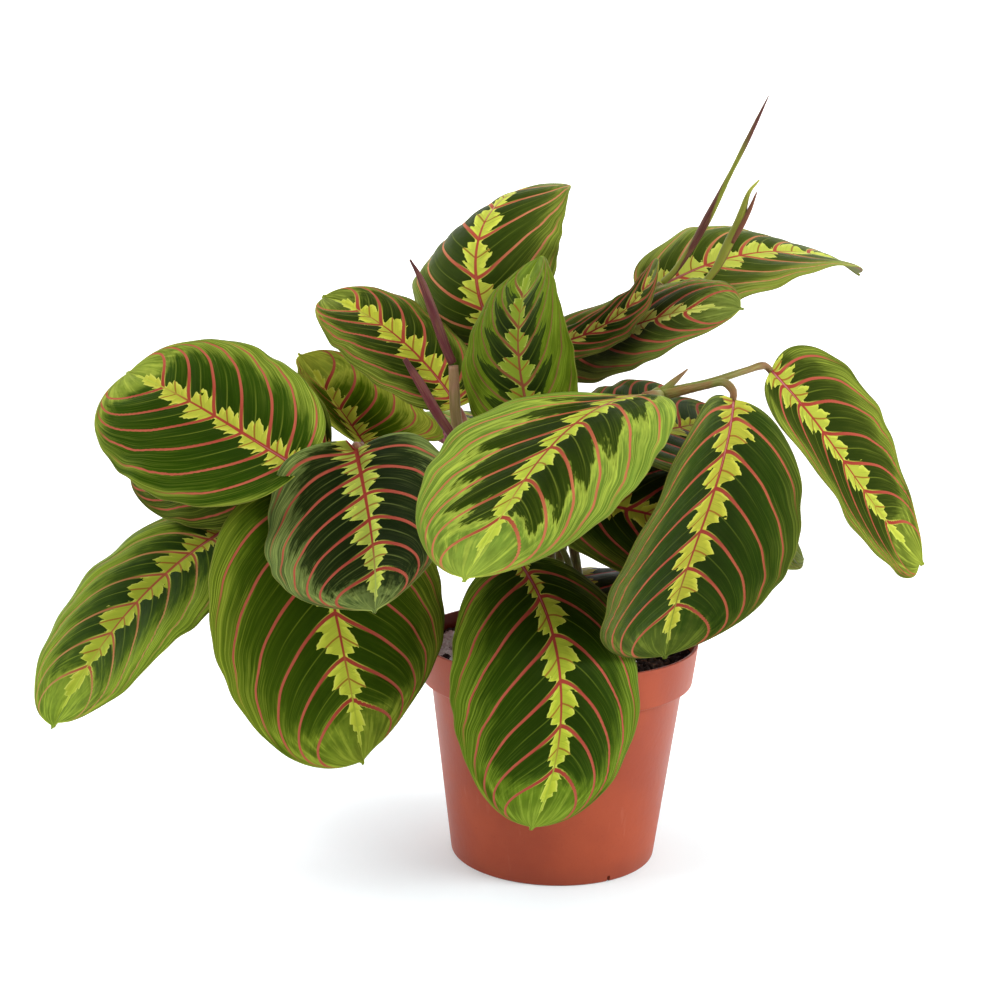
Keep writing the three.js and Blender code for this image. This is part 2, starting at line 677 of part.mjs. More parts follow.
// A low bank of white grains, its top raised by a formula.
function perliteGeometry() {
  const rings = 4;
  const segments = 28;
  const bottom = soilTop + fitGap;
  const positions = [perliteCentre[0], perliteCentre[1], bottom];
  const topStart = 1 + rings * segments;
  const place = (ring, i) => {
    const angle = (2 * Math.PI * i) / segments;
    const share = ring / rings;
    const ragged = 1 + 0.05 * share * Math.sin(5 * angle) + 0.04 * share * Math.sin(9 * angle + 1);
    const x = perliteCentre[0] + perliteHalfWidth * share * ragged * Math.cos(angle);
    const y = perliteCentre[1] + perliteHalfLength * share * ragged * Math.sin(angle);
    return [x, y];
  };
  const topAt = (x, y, share) => {
    const grains = 0.3 * Math.sin(1.9 * x) * Math.sin(1.3 * y + 0.5);
    return bottom + 0.35 + (perliteHeight + grains) * (1 - share ** 2);
  };
  for (let ring = 1; ring <= rings; ring += 1) {
    for (let i = 0; i < segments; i += 1) {
      positions.push(...place(ring, i), bottom);
    }
  }
  positions.push(perliteCentre[0], perliteCentre[1], topAt(...perliteCentre, 0));
  for (let ring = 1; ring <= rings; ring += 1) {
    for (let i = 0; i < segments; i += 1) {
      const [x, y] = place(ring, i);
      positions.push(x, y, topAt(x, y, ring / rings));
    }
  }
  const triangles = [];
  for (let i = 0; i < segments; i += 1) {
    const next = (i + 1) % segments;
    triangles.push(0, 1 + next, 1 + i);
    triangles.push(topStart, topStart + 1 + i, topStart + 1 + next);
    for (let ring = 0; ring + 1 < rings; ring += 1) {
      const a = 1 + ring * segments + i;
      const b = 1 + ring * segments + next;
      triangles.push(a, b, b + segments);
      triangles.push(a, b + segments, a + segments);
      triangles.push(topStart + a, topStart + b + segments, topStart + b);
      triangles.push(topStart + a, topStart + a + segments, topStart + b + segments);
    }
    const a = 1 + (rings - 1) * segments + i;
    const b = 1 + (rings - 1) * segments + next;
    triangles.push(a, b, topStart + b);
    triangles.push(a, topStart + b, topStart + a);
  }
  return closedGeometry(positions, triangles);
}

const plant = new THREE.Group();
plant.name = 'potted_prayer_plant';

plant.add(namedMesh('pot', potGeometry(), 0xa84f38, 0.5));
plant.add(namedMesh('soil', soilGeometry(), 0x1d1512, 0.95));
plant.add(namedMesh('perlite_patch', perliteGeometry(), 0xd9d9d6, 0.9));

const leafGroup = new THREE.Group();
leafGroup.name = 'leaves';
for (const [name, blade] of Object.entries(blades)) {
  leafGroup.add(namedMesh(name, sheet(bladeGrid(blade), bladeThickness), blade.color, 0.45));
}
plant.add(leafGroup);

const stemGroup = new THREE.Group();
stemGroup.name = 'stems';
for (const [name, shoot] of Object.entries(shoots)) {
  stemGroup.add(namedMesh(name, shootGeometry(shoot), shoot.color, 0.55));
}
for (const [name, stalk] of Object.entries(soilStalks)) {
  stemGroup.add(namedMesh(name, soilStalkGeometry(stalk), stalk.color, 0.55));
}
for (const [name, spike] of Object.entries(spikes)) {
  stemGroup.add(namedMesh(name, spikeGeometry(spike), spike.color, 0.5));
}
plant.add(stemGroup);

export default plant;
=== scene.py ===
import math
import random

import bmesh
import bpy
import numpy as np
from mathutils import Matrix, Vector, noise


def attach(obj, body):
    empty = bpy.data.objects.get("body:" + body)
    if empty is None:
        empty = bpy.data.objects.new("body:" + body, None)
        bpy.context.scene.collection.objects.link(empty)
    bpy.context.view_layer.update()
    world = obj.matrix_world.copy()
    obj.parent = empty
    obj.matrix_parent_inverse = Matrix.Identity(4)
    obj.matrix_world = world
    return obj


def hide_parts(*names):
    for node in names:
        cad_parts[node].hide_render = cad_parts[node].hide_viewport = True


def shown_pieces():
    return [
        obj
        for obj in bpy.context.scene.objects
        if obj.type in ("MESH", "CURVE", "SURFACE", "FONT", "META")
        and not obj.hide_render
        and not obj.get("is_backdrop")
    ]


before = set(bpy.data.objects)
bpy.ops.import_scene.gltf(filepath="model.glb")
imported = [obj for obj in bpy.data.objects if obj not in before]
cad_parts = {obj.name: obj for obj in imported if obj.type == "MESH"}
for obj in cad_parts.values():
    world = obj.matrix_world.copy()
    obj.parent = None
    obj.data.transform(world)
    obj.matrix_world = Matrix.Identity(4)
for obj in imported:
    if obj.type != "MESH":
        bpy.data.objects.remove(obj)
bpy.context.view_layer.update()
scene = bpy.context.scene
mm = 0.001
fullTurn = 2 * math.pi
print("frame loaded:", len(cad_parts), "nodes")


# camera and studio

photoCamera = {
    "place": (0, -784.5, 314.75),  # mm
    "down": 0.202,  # radians
    "turn": -0.033,
    "lean": 0.021,
    "lens": 68.4,
    "sensor": 36,
}


def makeCamera():
    view = photoCamera
    down, turn, lean = view["down"], view["turn"], view["lean"]
    forward = Vector((math.sin(turn) * math.cos(down), math.cos(turn) * math.cos(down), -math.sin(down)))
    level = Vector((math.cos(turn), -math.sin(turn), 0))
    above = level.cross(forward)
    right = math.cos(lean) * level + math.sin(lean) * above
    up = -math.sin(lean) * level + math.cos(lean) * above
    data = bpy.data.cameras.new("photo_camera")
    data.lens = view["lens"]
    data.sensor_width = view["sensor"]
    data.clip_start = 0.01
    data.clip_end = 30
    camera = bpy.data.objects.new("photo_camera", data)
    camera.matrix_world = Matrix.Translation(Vector(view["place"]) * mm) @ Matrix(
        (right, up, -forward)).transposed().to_4x4()
    scene.collection.objects.link(camera)
    scene.camera = camera


studio = {
    "floorRadius": 2.4,  # m
    "flatRadii": (0, 0.5, 1.2),
    "sweepRadius": 1.0,
    "sweepSteps": 8,
    "wallHeight": 3.2,
    "segments": 96,
    "aim": (0, 0, 0.15),
    # place, size in m, power in W
    "lights": {
        "key_light": ((1.4, -0.42, 0.98), 1.0, 23.5),
        "fill_light": ((-1.4, -0.38, 0.95), 1.0, 15.5),
        "top_light": ((0.1, 0.1, 1.9), 1.2, 14),
    },
    "skyStrength": 0.12,
    "paper": ("#f1f0ee", "#f4f3f1"),
    # a touch cooler round the pot, against the warm light that the pot throws on it
    "paperAtPot": "#e2eef1",
    "floorGlow": (0.185, 0.42, 0.85),  # at the pot, a hand away and far behind it
}


def softLight(name, place, size, power):
    data = bpy.data.lights.new(name, "AREA")
    data.shape = "DISK"
    data.size = size
    data.energy = power
    light = bpy.data.objects.new(name, data)
    light.location = place
    direction = Vector(studio["aim"]) - Vector(place)
    light.rotation_euler = direction.to_track_quat("-Z", "Y").to_euler()
    scene.collection.objects.link(light)


def makeStudio():
    flat, bend = studio["floorRadius"], studio["sweepRadius"]
    outline = [(radius, 0) for radius in (*studio["flatRadii"], flat)]
    for step in range(1, studio["sweepSteps"] + 1):
        angle = math.pi / 2 * step / studio["sweepSteps"]
        outline.append((flat + bend * math.sin(angle), bend * (1 - math.cos(angle))))
    outline.append((outline[-1][0], studio["wallHeight"]))
    points, faces = spinOutline(outline, studio["segments"])
    mesh = bpy.data.meshes.new("studio_floor")
    mesh.from_pydata(points, [], faces)
    mesh.shade_smooth()
    floor = bpy.data.objects.new("studio_floor", mesh)
    scene.collection.objects.link(floor)
    floor.data.materials.append(floorMaterial())
    floor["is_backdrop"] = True
    for name, (place, size, power) in studio["lights"].items():
        softLight(name, place, size, power)
    world = bpy.data.worlds.new("studio_sky")
    world.use_nodes = True
    sky = world.node_tree.nodes["Background"]
    sky.inputs["Color"].default_value = (1, 1, 1, 1)
    sky.inputs["Strength"].default_value = studio["skyStrength"]
    scene.world = world
    scene.view_settings.view_transform = "Standard"


# material helpers


class Wire:
    # an output of a shader node, so that a material's formulas can be written out plainly
    def __init__(self, socket):
        self.socket = socket

    def __add__(self, other):
        return calc("ADD", self, other)

    def __sub__(self, other):
        return calc("SUBTRACT", self, other)

    def __mul__(self, other):
        return calc("MULTIPLY", self, other)

    def __truediv__(self, other):
        return calc("DIVIDE", self, other)

    def __abs__(self):
        return calc("ABSOLUTE", self)


def colour(code):
    parts = [int(code[i:i + 2], 16) / 255 for i in (1, 3, 5)]
    linear = [((c + 0.055) / 1.055) ** 2.4 if c > 0.04045 else c / 12.92 for c in parts]
    return (*linear, 1.0)


def newMaterial(name, roughness, gloss=0.5):
    material = bpy.data.materials.new(name)
    material.use_nodes = True
    tree = material.node_tree
    shader = tree.nodes["Principled BSDF"]
    shader.inputs["Roughness"].default_value = roughness
    shader.inputs["Specular IOR Level"].default_value = gloss
    return material, tree, shader


def feed(socket, value):
    if isinstance(value, Wire):
        socket.id_data.links.new(value.socket, socket)
    elif isinstance(value, str):
        socket.default_value = colour(value)
    else:
        socket.default_value = value


def nodeBy(kind, *values):
    # a new node in the tree that one of the values comes from
    tree = next(value.socket.id_data for value in values if isinstance(value, Wire))
    return tree.nodes.new("ShaderNode" + kind)


def calc(operation, *values):
    node = nodeBy("Math", *values)
    node.operation = operation
    for socket, value in zip(node.inputs, values):
        feed(socket, value)
    return Wire(node.outputs[0])


def ramp(value, low, high, start=0.0, end=1.0, smooth=True):
    node = nodeBy("MapRange", value, low, high)
    node.interpolation_type = "SMOOTHSTEP" if smooth else "LINEAR"
    for socket, number in zip(node.inputs, (value, low, high, start, end)):
        feed(socket, number)
    return Wire(node.outputs[0])


def blend(share, first, second):
    node = nodeBy("Mix", share, first, second)
    node.data_type = "RGBA"
    feed(node.inputs[0], share)
    feed(node.inputs[6], first)
    feed(node.inputs[7], second)
    return Wire(node.outputs[2])


def between(share, first, second):
    return calc("MULTIPLY_ADD", second - first, share, first)


def spread(place, scale, detail=3.0, roughness=0.5):
    node = nodeBy("TexNoise", place)
    feed(node.inputs["Vector"], place)
    node.inputs["Scale"].default_value = scale
    node.inputs["Detail"].default_value = detail
    node.inputs["Roughness"].default_value = roughness
    return Wire(node.outputs["Fac"])


def together(x, y, z=0.0):
    node = nodeBy("CombineXYZ", x, y, z)
    for socket, value in zip(node.inputs, (x, y, z)):
        feed(socket, value)
    return Wire(node.outputs[0])


def parted(vector):
    node = nodeBy("SeparateXYZ", vector)
    feed(node.inputs[0], vector)
    return [Wire(output) for output in node.outputs]


def attribute(tree, name):
    node = tree.nodes.new("ShaderNodeAttribute")
    node.attribute_name = name
    return parted(Wire(node.outputs["Vector"]))


def ownPlace(tree):
    return Wire(tree.nodes.new("ShaderNodeTexCoord").outputs["Object"])


def paint(shader, body, height, strength, distance):
    # colour and relief; the distance is in m
    feed(shader.inputs["Base Color"], body)
    node = nodeBy("Bump", height)
    node.inputs["Strength"].default_value = strength
    node.inputs["Distance"].default_value = distance
    feed(node.inputs["Height"], height)
    feed(shader.inputs["Normal"], Wire(node.outputs[0]))


def floorMaterial():
    material, tree, shader = newMaterial("studio_white", 0.85, 0.1)
    place = ownPlace(tree)
    length = nodeBy("VectorMath", place)
    length.operation = "LENGTH"
    feed(length.inputs[0], place)
    distance = Wire(length.outputs["Value"])
    body = blend(spread(place, 1.3), *studio["paper"])
    body = blend(ramp(distance, 0.05, 0.35), studio["paperAtPot"], body)
    feed(shader.inputs["Base Color"], body)
    shader.inputs["Emission Color"].default_value = (1, 1, 1, 1)
    near, beside, far = studio["floorGlow"]
    behind = ramp(parted(place)[1], -0.7, -0.15)
    glow = calc("MAXIMUM", ramp(distance, 0.05, 0.17, near, beside), ramp(distance, 0.4, 2.4, 0.0, far))
    feed(shader.inputs["Emission Strength"], glow * behind)
    return material


# mesh helpers


def makePiece(name, points, faces, node, materials):
    mesh = bpy.data.meshes.new(name)
    mesh.from_pydata([tuple(p) for p in points], [], faces)
    mesh.shade_smooth()
    for material in materials:
        mesh.materials.append(material)
    piece = bpy.data.objects.new(name, mesh)
    scene.collection.objects.link(piece)
    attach(piece, "root")
    if node:
        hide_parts(node)
    return piece


def vectorAttribute(mesh, name, values):
    layer = mesh.attributes.new(name, "FLOAT_VECTOR", "POINT")
    layer.data.foreach_set("vector", np.asarray(values, dtype=np.float32).ravel())


def tubeFaces(rings, sides, start=0):
    # quads between the rings of a tube and a face on each end
    faces = []
    for i in range(rings - 1):
        for k in range(sides):
            a = start + i * sides + k
            b = start + i * sides + (k + 1) % sides
            faces.append((a, b, b + sides, a + sides))
    faces.append(tuple(start + k for k in reversed(range(sides))))
    faces.append(tuple(start + (rings - 1) * sides + k for k in range(sides)))
    return faces


def spinOutline(outline, segments):
    points = []
    starts = []
    for radius, height in outline:
        starts.append(len(points))
        count = 1 if radius == 0 else segments
        for i in range(count):
            angle = fullTurn * i / segments
            points.append((radius * math.cos(angle), radius * math.sin(angle), height))
    faces = []
    for ring in range(len(outline) - 1):
        low = outline[ring][0] == 0
        high = outline[ring + 1][0] == 0
        for i in range(segments):
            after = (i + 1) % segments
            a = starts[ring] + (0 if low else i)
            b = starts[ring] + (0 if low else after)
            c = starts[ring + 1] + (0 if high else after)
            d = starts[ring + 1] + (0 if high else i)
            if low and high:
                continue
            faces.append((b, c, d) if low else (a, b, c) if high else (a, b, c, d))
    return points, faces


# leaf blades

bladeShape = {
    "widestAt": 0.46,  # share of the length
    "baseRoundness": 2.25,
    "tipRoundness": 1.9,
    "heel": 0.05,
    "dripTip": 0.1,
    "spineSteps": 30,
    "rows": 100,
    "columns": 24,  # on each side of the midrib
    "thickness": 0.7,  # mm at the midrib
    "edgeThickness": 0.36,
    "quilting": 0.8,  # mm that the blade bulges between two veins
    "marginWave": 1.1,
    "ripple": 0.016,  # share by which the outline widens and narrows
    "ribRadius": 1.2,
    "ribDrop": 0.35,
    "ribEnd": 0.9,  # share of the length
    "ribRows": 34,
    "ribSides": 8,
}

# where the lateral veins leave the midrib, as shares of the length, and the last small lobes
veinStarts = (0.015, 0.075, 0.17, 0.305, 0.45, 0.6, 0.755)
tipLobes = (0.885, 0.985)

# what all the blades share
markings = {
    "blotches": (4.5, 5),  # how fine, along the veins' order and out from the midrib
    "feathers": (13, 3),
    "lines": (20, 1.6),
    "tipLines": (13, 5),
    "wobble": (30, 5),
    "underLines": (14, 2.2),
    "veinHalf": (0.82, 0.34),  # mm at the midrib and at the margin
    "ribHalf": (1.1, 0.1),  # mm at the base and at the tip
    "fringe": (0.8, 1.25),  # mm of lime beside a vein
    "neck": 0.3,  # height of a lobe at its narrow and wide end, as shares
    "crest": 0.76,
    "teeth": 2.7,
    "toothDepth": 0.42,
    "ownSize": 1.1,  # how much one lobe differs from the next
    "sheen": "#e4f0b0",
    "lobeRim": "#cdcf70",
    "lobeVein": "#7e3a20",
    "dryRim": "#7c7a3a",
    "underLine": "#74424a",
    "underRim": "#6a5a40",
    "underVein": "#a65a60",
    "rib": ("#8c3a3c", "#a08a58"),
    "ribPatch": "#6e2c34",
}

# colours: dark zone by the midrib, its outer part, margin, light streaks, lime lobes; veins: inner, outer
# darkReach: how far from the midrib (0) to the margin (1) the dark zone goes, soft: how gently it ends
# band: how much lighter the margin starts, side: how much further in it starts on the left half
# scallop: how much less the dark zone reaches near a vein, feather, teeth and ragged: how torn its end is
# lobe: mm of the lime lobes, baseLobe: how large the first ones are, tipLight: how light the tip is
deepLook = {
    "colours": ("#182605", "#263a09", "#465416", "#6c7a28", "#a8b034"), "veins": ("#86342a", "#9c4e3c"),
    "darkReach": 0.75, "soft": 0.16, "band": 0.2, "side": 0.0, "scallop": 0.04, "feather": 0.3,
    "teeth": 0.04, "ragged": 0.7, "lines": 0.9, "lobe": 8.0, "baseLobe": 0.7, "tipLight": 0.0,
    "veinWide": 1.0, "gloss": 0.02, "under": "#5c2834",
}
midLook = {
    "colours": ("#2a3a04", "#455808", "#74842a", "#98a440", "#b0b83c"), "veins": ("#8a362a", "#a0523e"),
    "darkReach": 0.72, "soft": 0.18, "band": 0.3, "side": 0.0, "scallop": 0.05, "feather": 0.35,
    "teeth": 0.05, "ragged": 0.7, "lines": 0.8, "lobe": 8.0, "baseLobe": 0.7, "tipLight": 0.0,
    "veinWide": 1.0, "gloss": 0.02, "under": "#5c2834",
}
brightLook = {
    "colours": ("#1b2804", "#293806", "#6a842e", "#a6b644", "#a8b43a"), "veins": ("#8c3c2c", "#b06846"),
    "darkReach": 0.56, "soft": 0.05, "band": 0.85, "side": 0.0, "scallop": 0.12, "feather": 0.34,
    "teeth": 0.06, "ragged": 0.3, "lines": 0.4, "lobe": 9.0, "baseLobe": 0.75, "tipLight": 0.0,
    "veinWide": 1.0, "gloss": 0.02, "under": "#5c2834",
}

# base: mm, aim: heading, pitch and roll in degrees, size: mm of length, left half and right half
# arch, sweep and twist: degrees the blade bends over its length, fold and droop: of its left and right half
leafPieces = {
    "leaf_left_high": {
        "base": (-100, -71, 178), "aim": (150, 21, -45), "size": (102, 43, 36), "arch": (-5, 30),
        "fold": (20, 5), "droop": (25, 20), "straight": 0.5,
        "slot": "leaf_mid",
        "look": {**midLook, "colours": ("#1d3003", "#2b4206", "#5e741e", "#9ca840", "#a8a93a"),
                 "darkReach": 0.84, "side": -0.16, "baseLobe": 0.9, "tipLight": 0.5}},
    "leaf_left_behind": {
        "base": (-93, -38, 180), "aim": (166, -3, -63), "size": (94, 36, 35), "arch": (5, 15),
        "twist": 20, "fold": (15, 15), "droop": (30, 10),
        "slot": "leaf_dark",
        # painted shade: darker colours than the deep look's, for a leaf that sits in shade
        "look": {**deepLook, "colours": ("#161f04", "#232f08", "#36440f", "#6c7a28", "#a8b034")}},
    "leaf_left_low": {
        "base": (-135, -35, 146), "aim": (-143, -23, -14), "size": (106, 38, 38), "arch": (20, 10),
        "sweep": 15, "twist": 10, "fold": (5, 15), "droop": (15, 30),
        "nudges": [(0.56, 1, 0.22, 0.6, (-2.2, 0, 2.6)), (0.97, -1, 0.1, 1, (-1.1, 0, -1.6))],
        "slot": "leaf_bright",
        "look": {**midLook, "colours": ("#1a2c08", "#354a0c", "#607820", "#92a634", "#949e30"),
                 "veins": ("#8a4630", "#a07848"), "darkReach": 0.62, "feather": 0.4, "lobe": 10.0,
                 "veinWide": 0.7}},
    "leaf_left_hanging": {
        "base": (-100, -56, 172), "aim": (-64, -54, 13), "size": (120, 46, 49), "arch": (30, 20),
        "sweep": 10, "twist": -15, "fold": (-5, 10), "droop": (0, 25),
        "nudges": [(0.9, 1, 0.14, 0.6, (-2, 0, 1.4))],
        "slot": "leaf_dark",
        "look": {**midLook, "colours": ("#203203", "#344808", "#4a6012", "#92a034", "#b0b83c"),
                 "darkReach": 0.82, "lobe": 10.5, "baseLobe": 1.0, "tipLight": 0.6}},
    "leaf_round_dark": {
        "base": (-81, -52, 183), "aim": (-75, -28, 26), "size": (84, 36, 42), "arch": (20, -25),
        "sweep": -10, "twist": 5, "fold": (10, 20), "droop": (0, 30),
        "nudges": [(0.06, -0.9, 0.13, 0.5, (-2, -16, 7.5))],
        "slot": "leaf_dark",
        "look": {**deepLook, "colours": ("#101a06", "#1a250a", "#4a5e30", "#8c9a50", "#a8b446"),
                 "darkReach": 0.78, "soft": 0.12, "band": 0.4, "side": -0.1, "feather": 0.36,
                 "baseLobe": 1.0}},
    "leaf_left_back": {
        "base": (-82, -25, 180), "aim": (88, -14, -32), "size": (85, 31, 39), "arch": (-50, -40),
        "sweep": 20, "twist": 10, "fold": (60, -15), "droop": (-15, 25),
        "slot": "leaf_mid",
        "look": {**midLook, "colours": ("#2a3c03", "#465c0a", "#78882a", "#b0b640", "#b0b438"),
                 "darkReach": 0.6, "band": 0.5, "tipLight": 0.6, "gloss": 0.0}},
    "leaf_upper_left": {
        "base": (-44, -12, 195), "aim": (148, 49, -10), "size": (82, 29, 29), "arch": (15, 25),
        "sweep": 10, "fold": (5, 15), "droop": (25, 30),
        "nudges": [(0.86, -1, 0.2, 0.7, (0, 0, 1.3))],
        "slot": "leaf_mid",
        "look": {**midLook, "colours": ("#1c2802", "#2c3a08", "#4e5c1a", "#98a440", "#b0b438"),
                 "lobe": 10.0, "baseLobe": 1.2}},
    "leaf_front_bright": {
        "base": (30, -68, 210), "aim": (-140, 1, 20), "size": (118, 41, 48), "arch": (50, -5),
        "twist": -5, "fold": (-10, 10), "droop": (40, -20),
        "slot": "leaf_bright",
        "look": {**brightLook, "tipLight": 0.3}},
    "leaf_right_front": {
        "base": (64, -67, 209), "aim": (-103, -74, -75), "size": (115, 46, 49), "arch": (40, -15),
        "sweep": 35, "twist": 25, "fold": (10, -5), "droop": (-25, -25),
        "slot": "leaf_dark",
        "look": {**deepLook, "colours": ("#182605", "#263a09", "#3c4a16", "#6c7a2a", "#a6a636"),
                 "veins": ("#7e3028", "#9c523a"), "side": -0.1, "lobe": 11.0, "baseLobe": 1.2}},
    "leaf_far_right": {
        "base": (83, -19, 214), "aim": (9, -44, 40), "size": (113, 42, 41), "arch": (20, -15),
        "sweep": 5, "twist": -10, "fold": (5, 0), "droop": (-10, -20),
        "nudges": [(0.27, -1, 0.14, 0.6, (2.2, 0, 1.9)), (0.98, 1, 0.08, 1, (1.4, 0, 0))],
        "slot": "leaf_dark",
        "look": {**deepLook, "colours": ("#232f0c", "#343f12", "#4c5a1e", "#98a63c", "#a8b040"),
                 "lobe": 10.0, "baseLobe": 1.1, "tipLight": 0.5, "gloss": 0.0}},
    "leaf_right_inner": {
        "base": (14, -46, 188), "aim": (50, 0, 24), "size": (93, 31, 34), "arch": (5, -5), "sweep": 5,
        "twist": 10, "fold": (10, 10), "droop": (50, 15),
        "slot": "leaf_dark",
        "look": deepLook},
    "leaf_right_behind": {
        "base": (59, -14, 175), "aim": (35, -38, 46), "size": (79, 19, 20), "arch": (5, 0), "sweep": 5,
        "fold": (5, 5), "droop": (15, 20),
        "slot": "leaf_dark",
        "look": {**deepLook, "colours": ("#36440c", "#4c5c14", "#6a7a2a", "#7c8a36", "#76843a"),
                 "veins": ("#5a4a1c", "#6a6a2a"), "lobe": 5.0}},
    "leaf_centre_upright": {
        "base": (-9, -35, 184), "aim": (0, 112, 68), "size": (81, 28, 28), "arch": (20, 40),
        "sweep": -10, "twist": -40, "fold": (15, 5), "droop": (10, 15),
        "slot": "leaf_mid",
        "look": {**midLook, "colours": ("#142004", "#27370a", "#5c7216", "#788c2a", "#76882a"),
                 "veins": ("#74402a", "#70582e"), "darkReach": 0.5, "soft": 0.02, "band": 0.0,
                 "scallop": 0.15, "feather": 0.2, "teeth": 0.14, "lines": 0.5, "baseLobe": 0.9,
                 "veinWide": 0.8}},
    "leaf_top": {
        "base": (-26, 25, 217), "aim": (50, 145, 25), "size": (112, 48, 36), "arch": (105, 55),
        "sweep": -20, "twist": -30, "fold": (0, -10), "droop": (35, 30),
        "nudges": [(0.7, 1, 0.25, 0.7, (2.6, 0, -2.8))],
        "slot": "leaf_dark",
        "look": {**deepLook, "colours": ("#26340a", "#3a4814", "#586622", "#8c9a38", "#bcc446"),
                 "veins": ("#984232", "#b47450"), "lobe": 9.0, "baseLobe": 1.0, "tipLight": 0.36}},
    "leaf_right_upper": {
        "base": (-11, 12, 217), "aim": (-17, 6, 52), "size": (99, 27, 23), "arch": (-55, 60),
        "sweep": -5, "twist": -15, "fold": (5, 5), "droop": (40, 15),
        "slot": "leaf_mid",
        "look": {**midLook, "colours": ("#202a08", "#364212", "#606e2e", "#84923e", "#a8ae4e"),
                 "lobe": 6.0}},
    "leaf_right_folded": {
        "base": (-12, -16, 221), "aim": (23, 1, 45), "size": (70, 12, 14), "arch": (-50, -45),
        "sweep": 10, "twist": -5, "fold": (-5, 25), "droop": (30, 20),
        "slot": "leaf_dark",
        "look": {**deepLook, "colours": ("#182605", "#263a09", "#505c28", "#6c7a28", "#a8ac44"),
                 "lobe": 5.0}},
    "leaf_right_top": {
        "base": (32, 41, 237), "aim": (-7, 33, 48), "size": (103, 37, 37), "arch": (25, 40),
        "twist": -40, "fold": (10, 5), "droop": (35, 0),
        "nudges": [(0.16, 1, 0.12, 0.7, (2, 0, -2)), (0.37, 1, 0.1, 0.6, (0, 0, 1.6)),
                   (0.75, 1, 0.14, 0.7, (0, 0, -2.2)), (1, 0, 0.08, 2, (0, 0, -2.2))],
        "slot": "leaf_mid",
        "look": {**midLook, "colours": ("#2c3a08", "#465418", "#78862e", "#98a446", "#b4bc4c"),
                 "veins": ("#984232", "#b67e50"), "lobe": 12.0, "under": "#66702c",
                 "underLine": "#6c6a38"}},
    "leaf_inner_back": {
        "base": (7, 10, 179), "aim": (41, 20, 23), "size": (71, 24, 26), "arch": (10, 20), "sweep": 5,
        "twist": 15, "fold": (10, 10), "droop": (45, 10),
        "slot": "leaf_dark",
        "look": deepLook},
    "leaf_front_hanging": {
        "base": (-17, -50, 140), "aim": (-48, -32, -8), "size": (117, 39, 45), "arch": (50, 35),
        "sweep": -5, "twist": 10, "fold": (10, -5), "droop": (10, 35),
        "slot": "leaf_dark",
        "look": {**deepLook, "colours": ("#182803", "#273c06", "#4a6410", "#849832", "#a0aa34"),
                 "lobe": 8.2, "tipLight": 0.55}},
    "leaf_inner_low": {
        "base": (-1, -17, 158), "aim": (-27, 4, 49), "size": (98, 35, 34), "arch": (40, 70),
        "sweep": 10, "twist": 25, "fold": (-5, 20), "droop": (50, 0),
        "slot": "leaf_dark",
        "look": deepLook},
    "leaf_rear_low": {
        "base": (8, 18, 98), "aim": (88, 42, 0), "size": (100, 36, 36), "arch": (55, 60),
        "fold": (0, 0), "droop": (5, 5),
        "slot": "leaf_dark",
        "look": deepLook},
    "leaf_back_centre": {
        "base": (12, 40, 176), "aim": (72, 18, 0), "size": (102, 36, 37), "arch": (25, 45), "sweep": 5,
        "fold": (10, 10), "droop": (15, 15),
        "slot": "leaf_mid",
        "look": midLook},
    "leaf_back_tall": {
        "base": (-16, 40, 170), "aim": (108, 22, 0), "size": (106, 38, 37), "arch": (30, 45),
        "sweep": -5, "fold": (10, 10), "droop": (15, 15),
        "slot": "leaf_mid",
        "look": brightLook},
    "leaf_back_left": {
        "base": (-36, 24, 158), "aim": (146, 12, 8), "size": (98, 35, 35), "arch": (30, 40),
        "sweep": -10, "fold": (10, 10), "droop": (15, 15),
        "slot": "leaf_mid",
        "look": midLook},
    "leaf_back_right": {
        "base": (30, 26, 150), "aim": (38, 8, -6), "size": (88, 32, 32), "arch": (30, 45), "sweep": 10,
        "fold": (10, 10), "droop": (15, 15),
        "slot": "leaf_mid",
        "look": deepLook},
    "leaf_low_left": {
        "base": (-42, 6, 126), "aim": (162, 4, 6), "size": (90, 33, 33), "arch": (30, 35),
        "fold": (10, 10), "droop": (15, 15),
        "slot": "leaf_dark",
        "look": deepLook},
    "leaf_low_right": {
        "base": (34, 10, 122), "aim": (22, 6, -6), "size": (50, 24, 24), "arch": (30, 35),
        "fold": (10, 10), "droop": (15, 15),
        "slot": "leaf_dark",
        "look": deepLook},
}


def halfWidthAt(s):
    shape = bladeShape
    toWidest = np.clip(s / shape["widestAt"], 0, 1)
    toTip = np.clip((s - shape["widestAt"]) / (1 - shape["widestAt"]) / 0.97, 0, 1)
    baseHalf = (1 - (1 - toWidest) ** 2) ** (1 / shape["baseRoundness"])
    tipHalf = (1 - toTip ** 2) ** (1 / shape["tipRoundness"])
    drip = shape["dripTip"] * np.clip((1 - s) / (1 - shape["widestAt"]) / 0.07, 0, 1)
    return np.maximum(np.where(s < shape["widestAt"], baseHalf, np.maximum(tipHalf, drip)), 0.02)


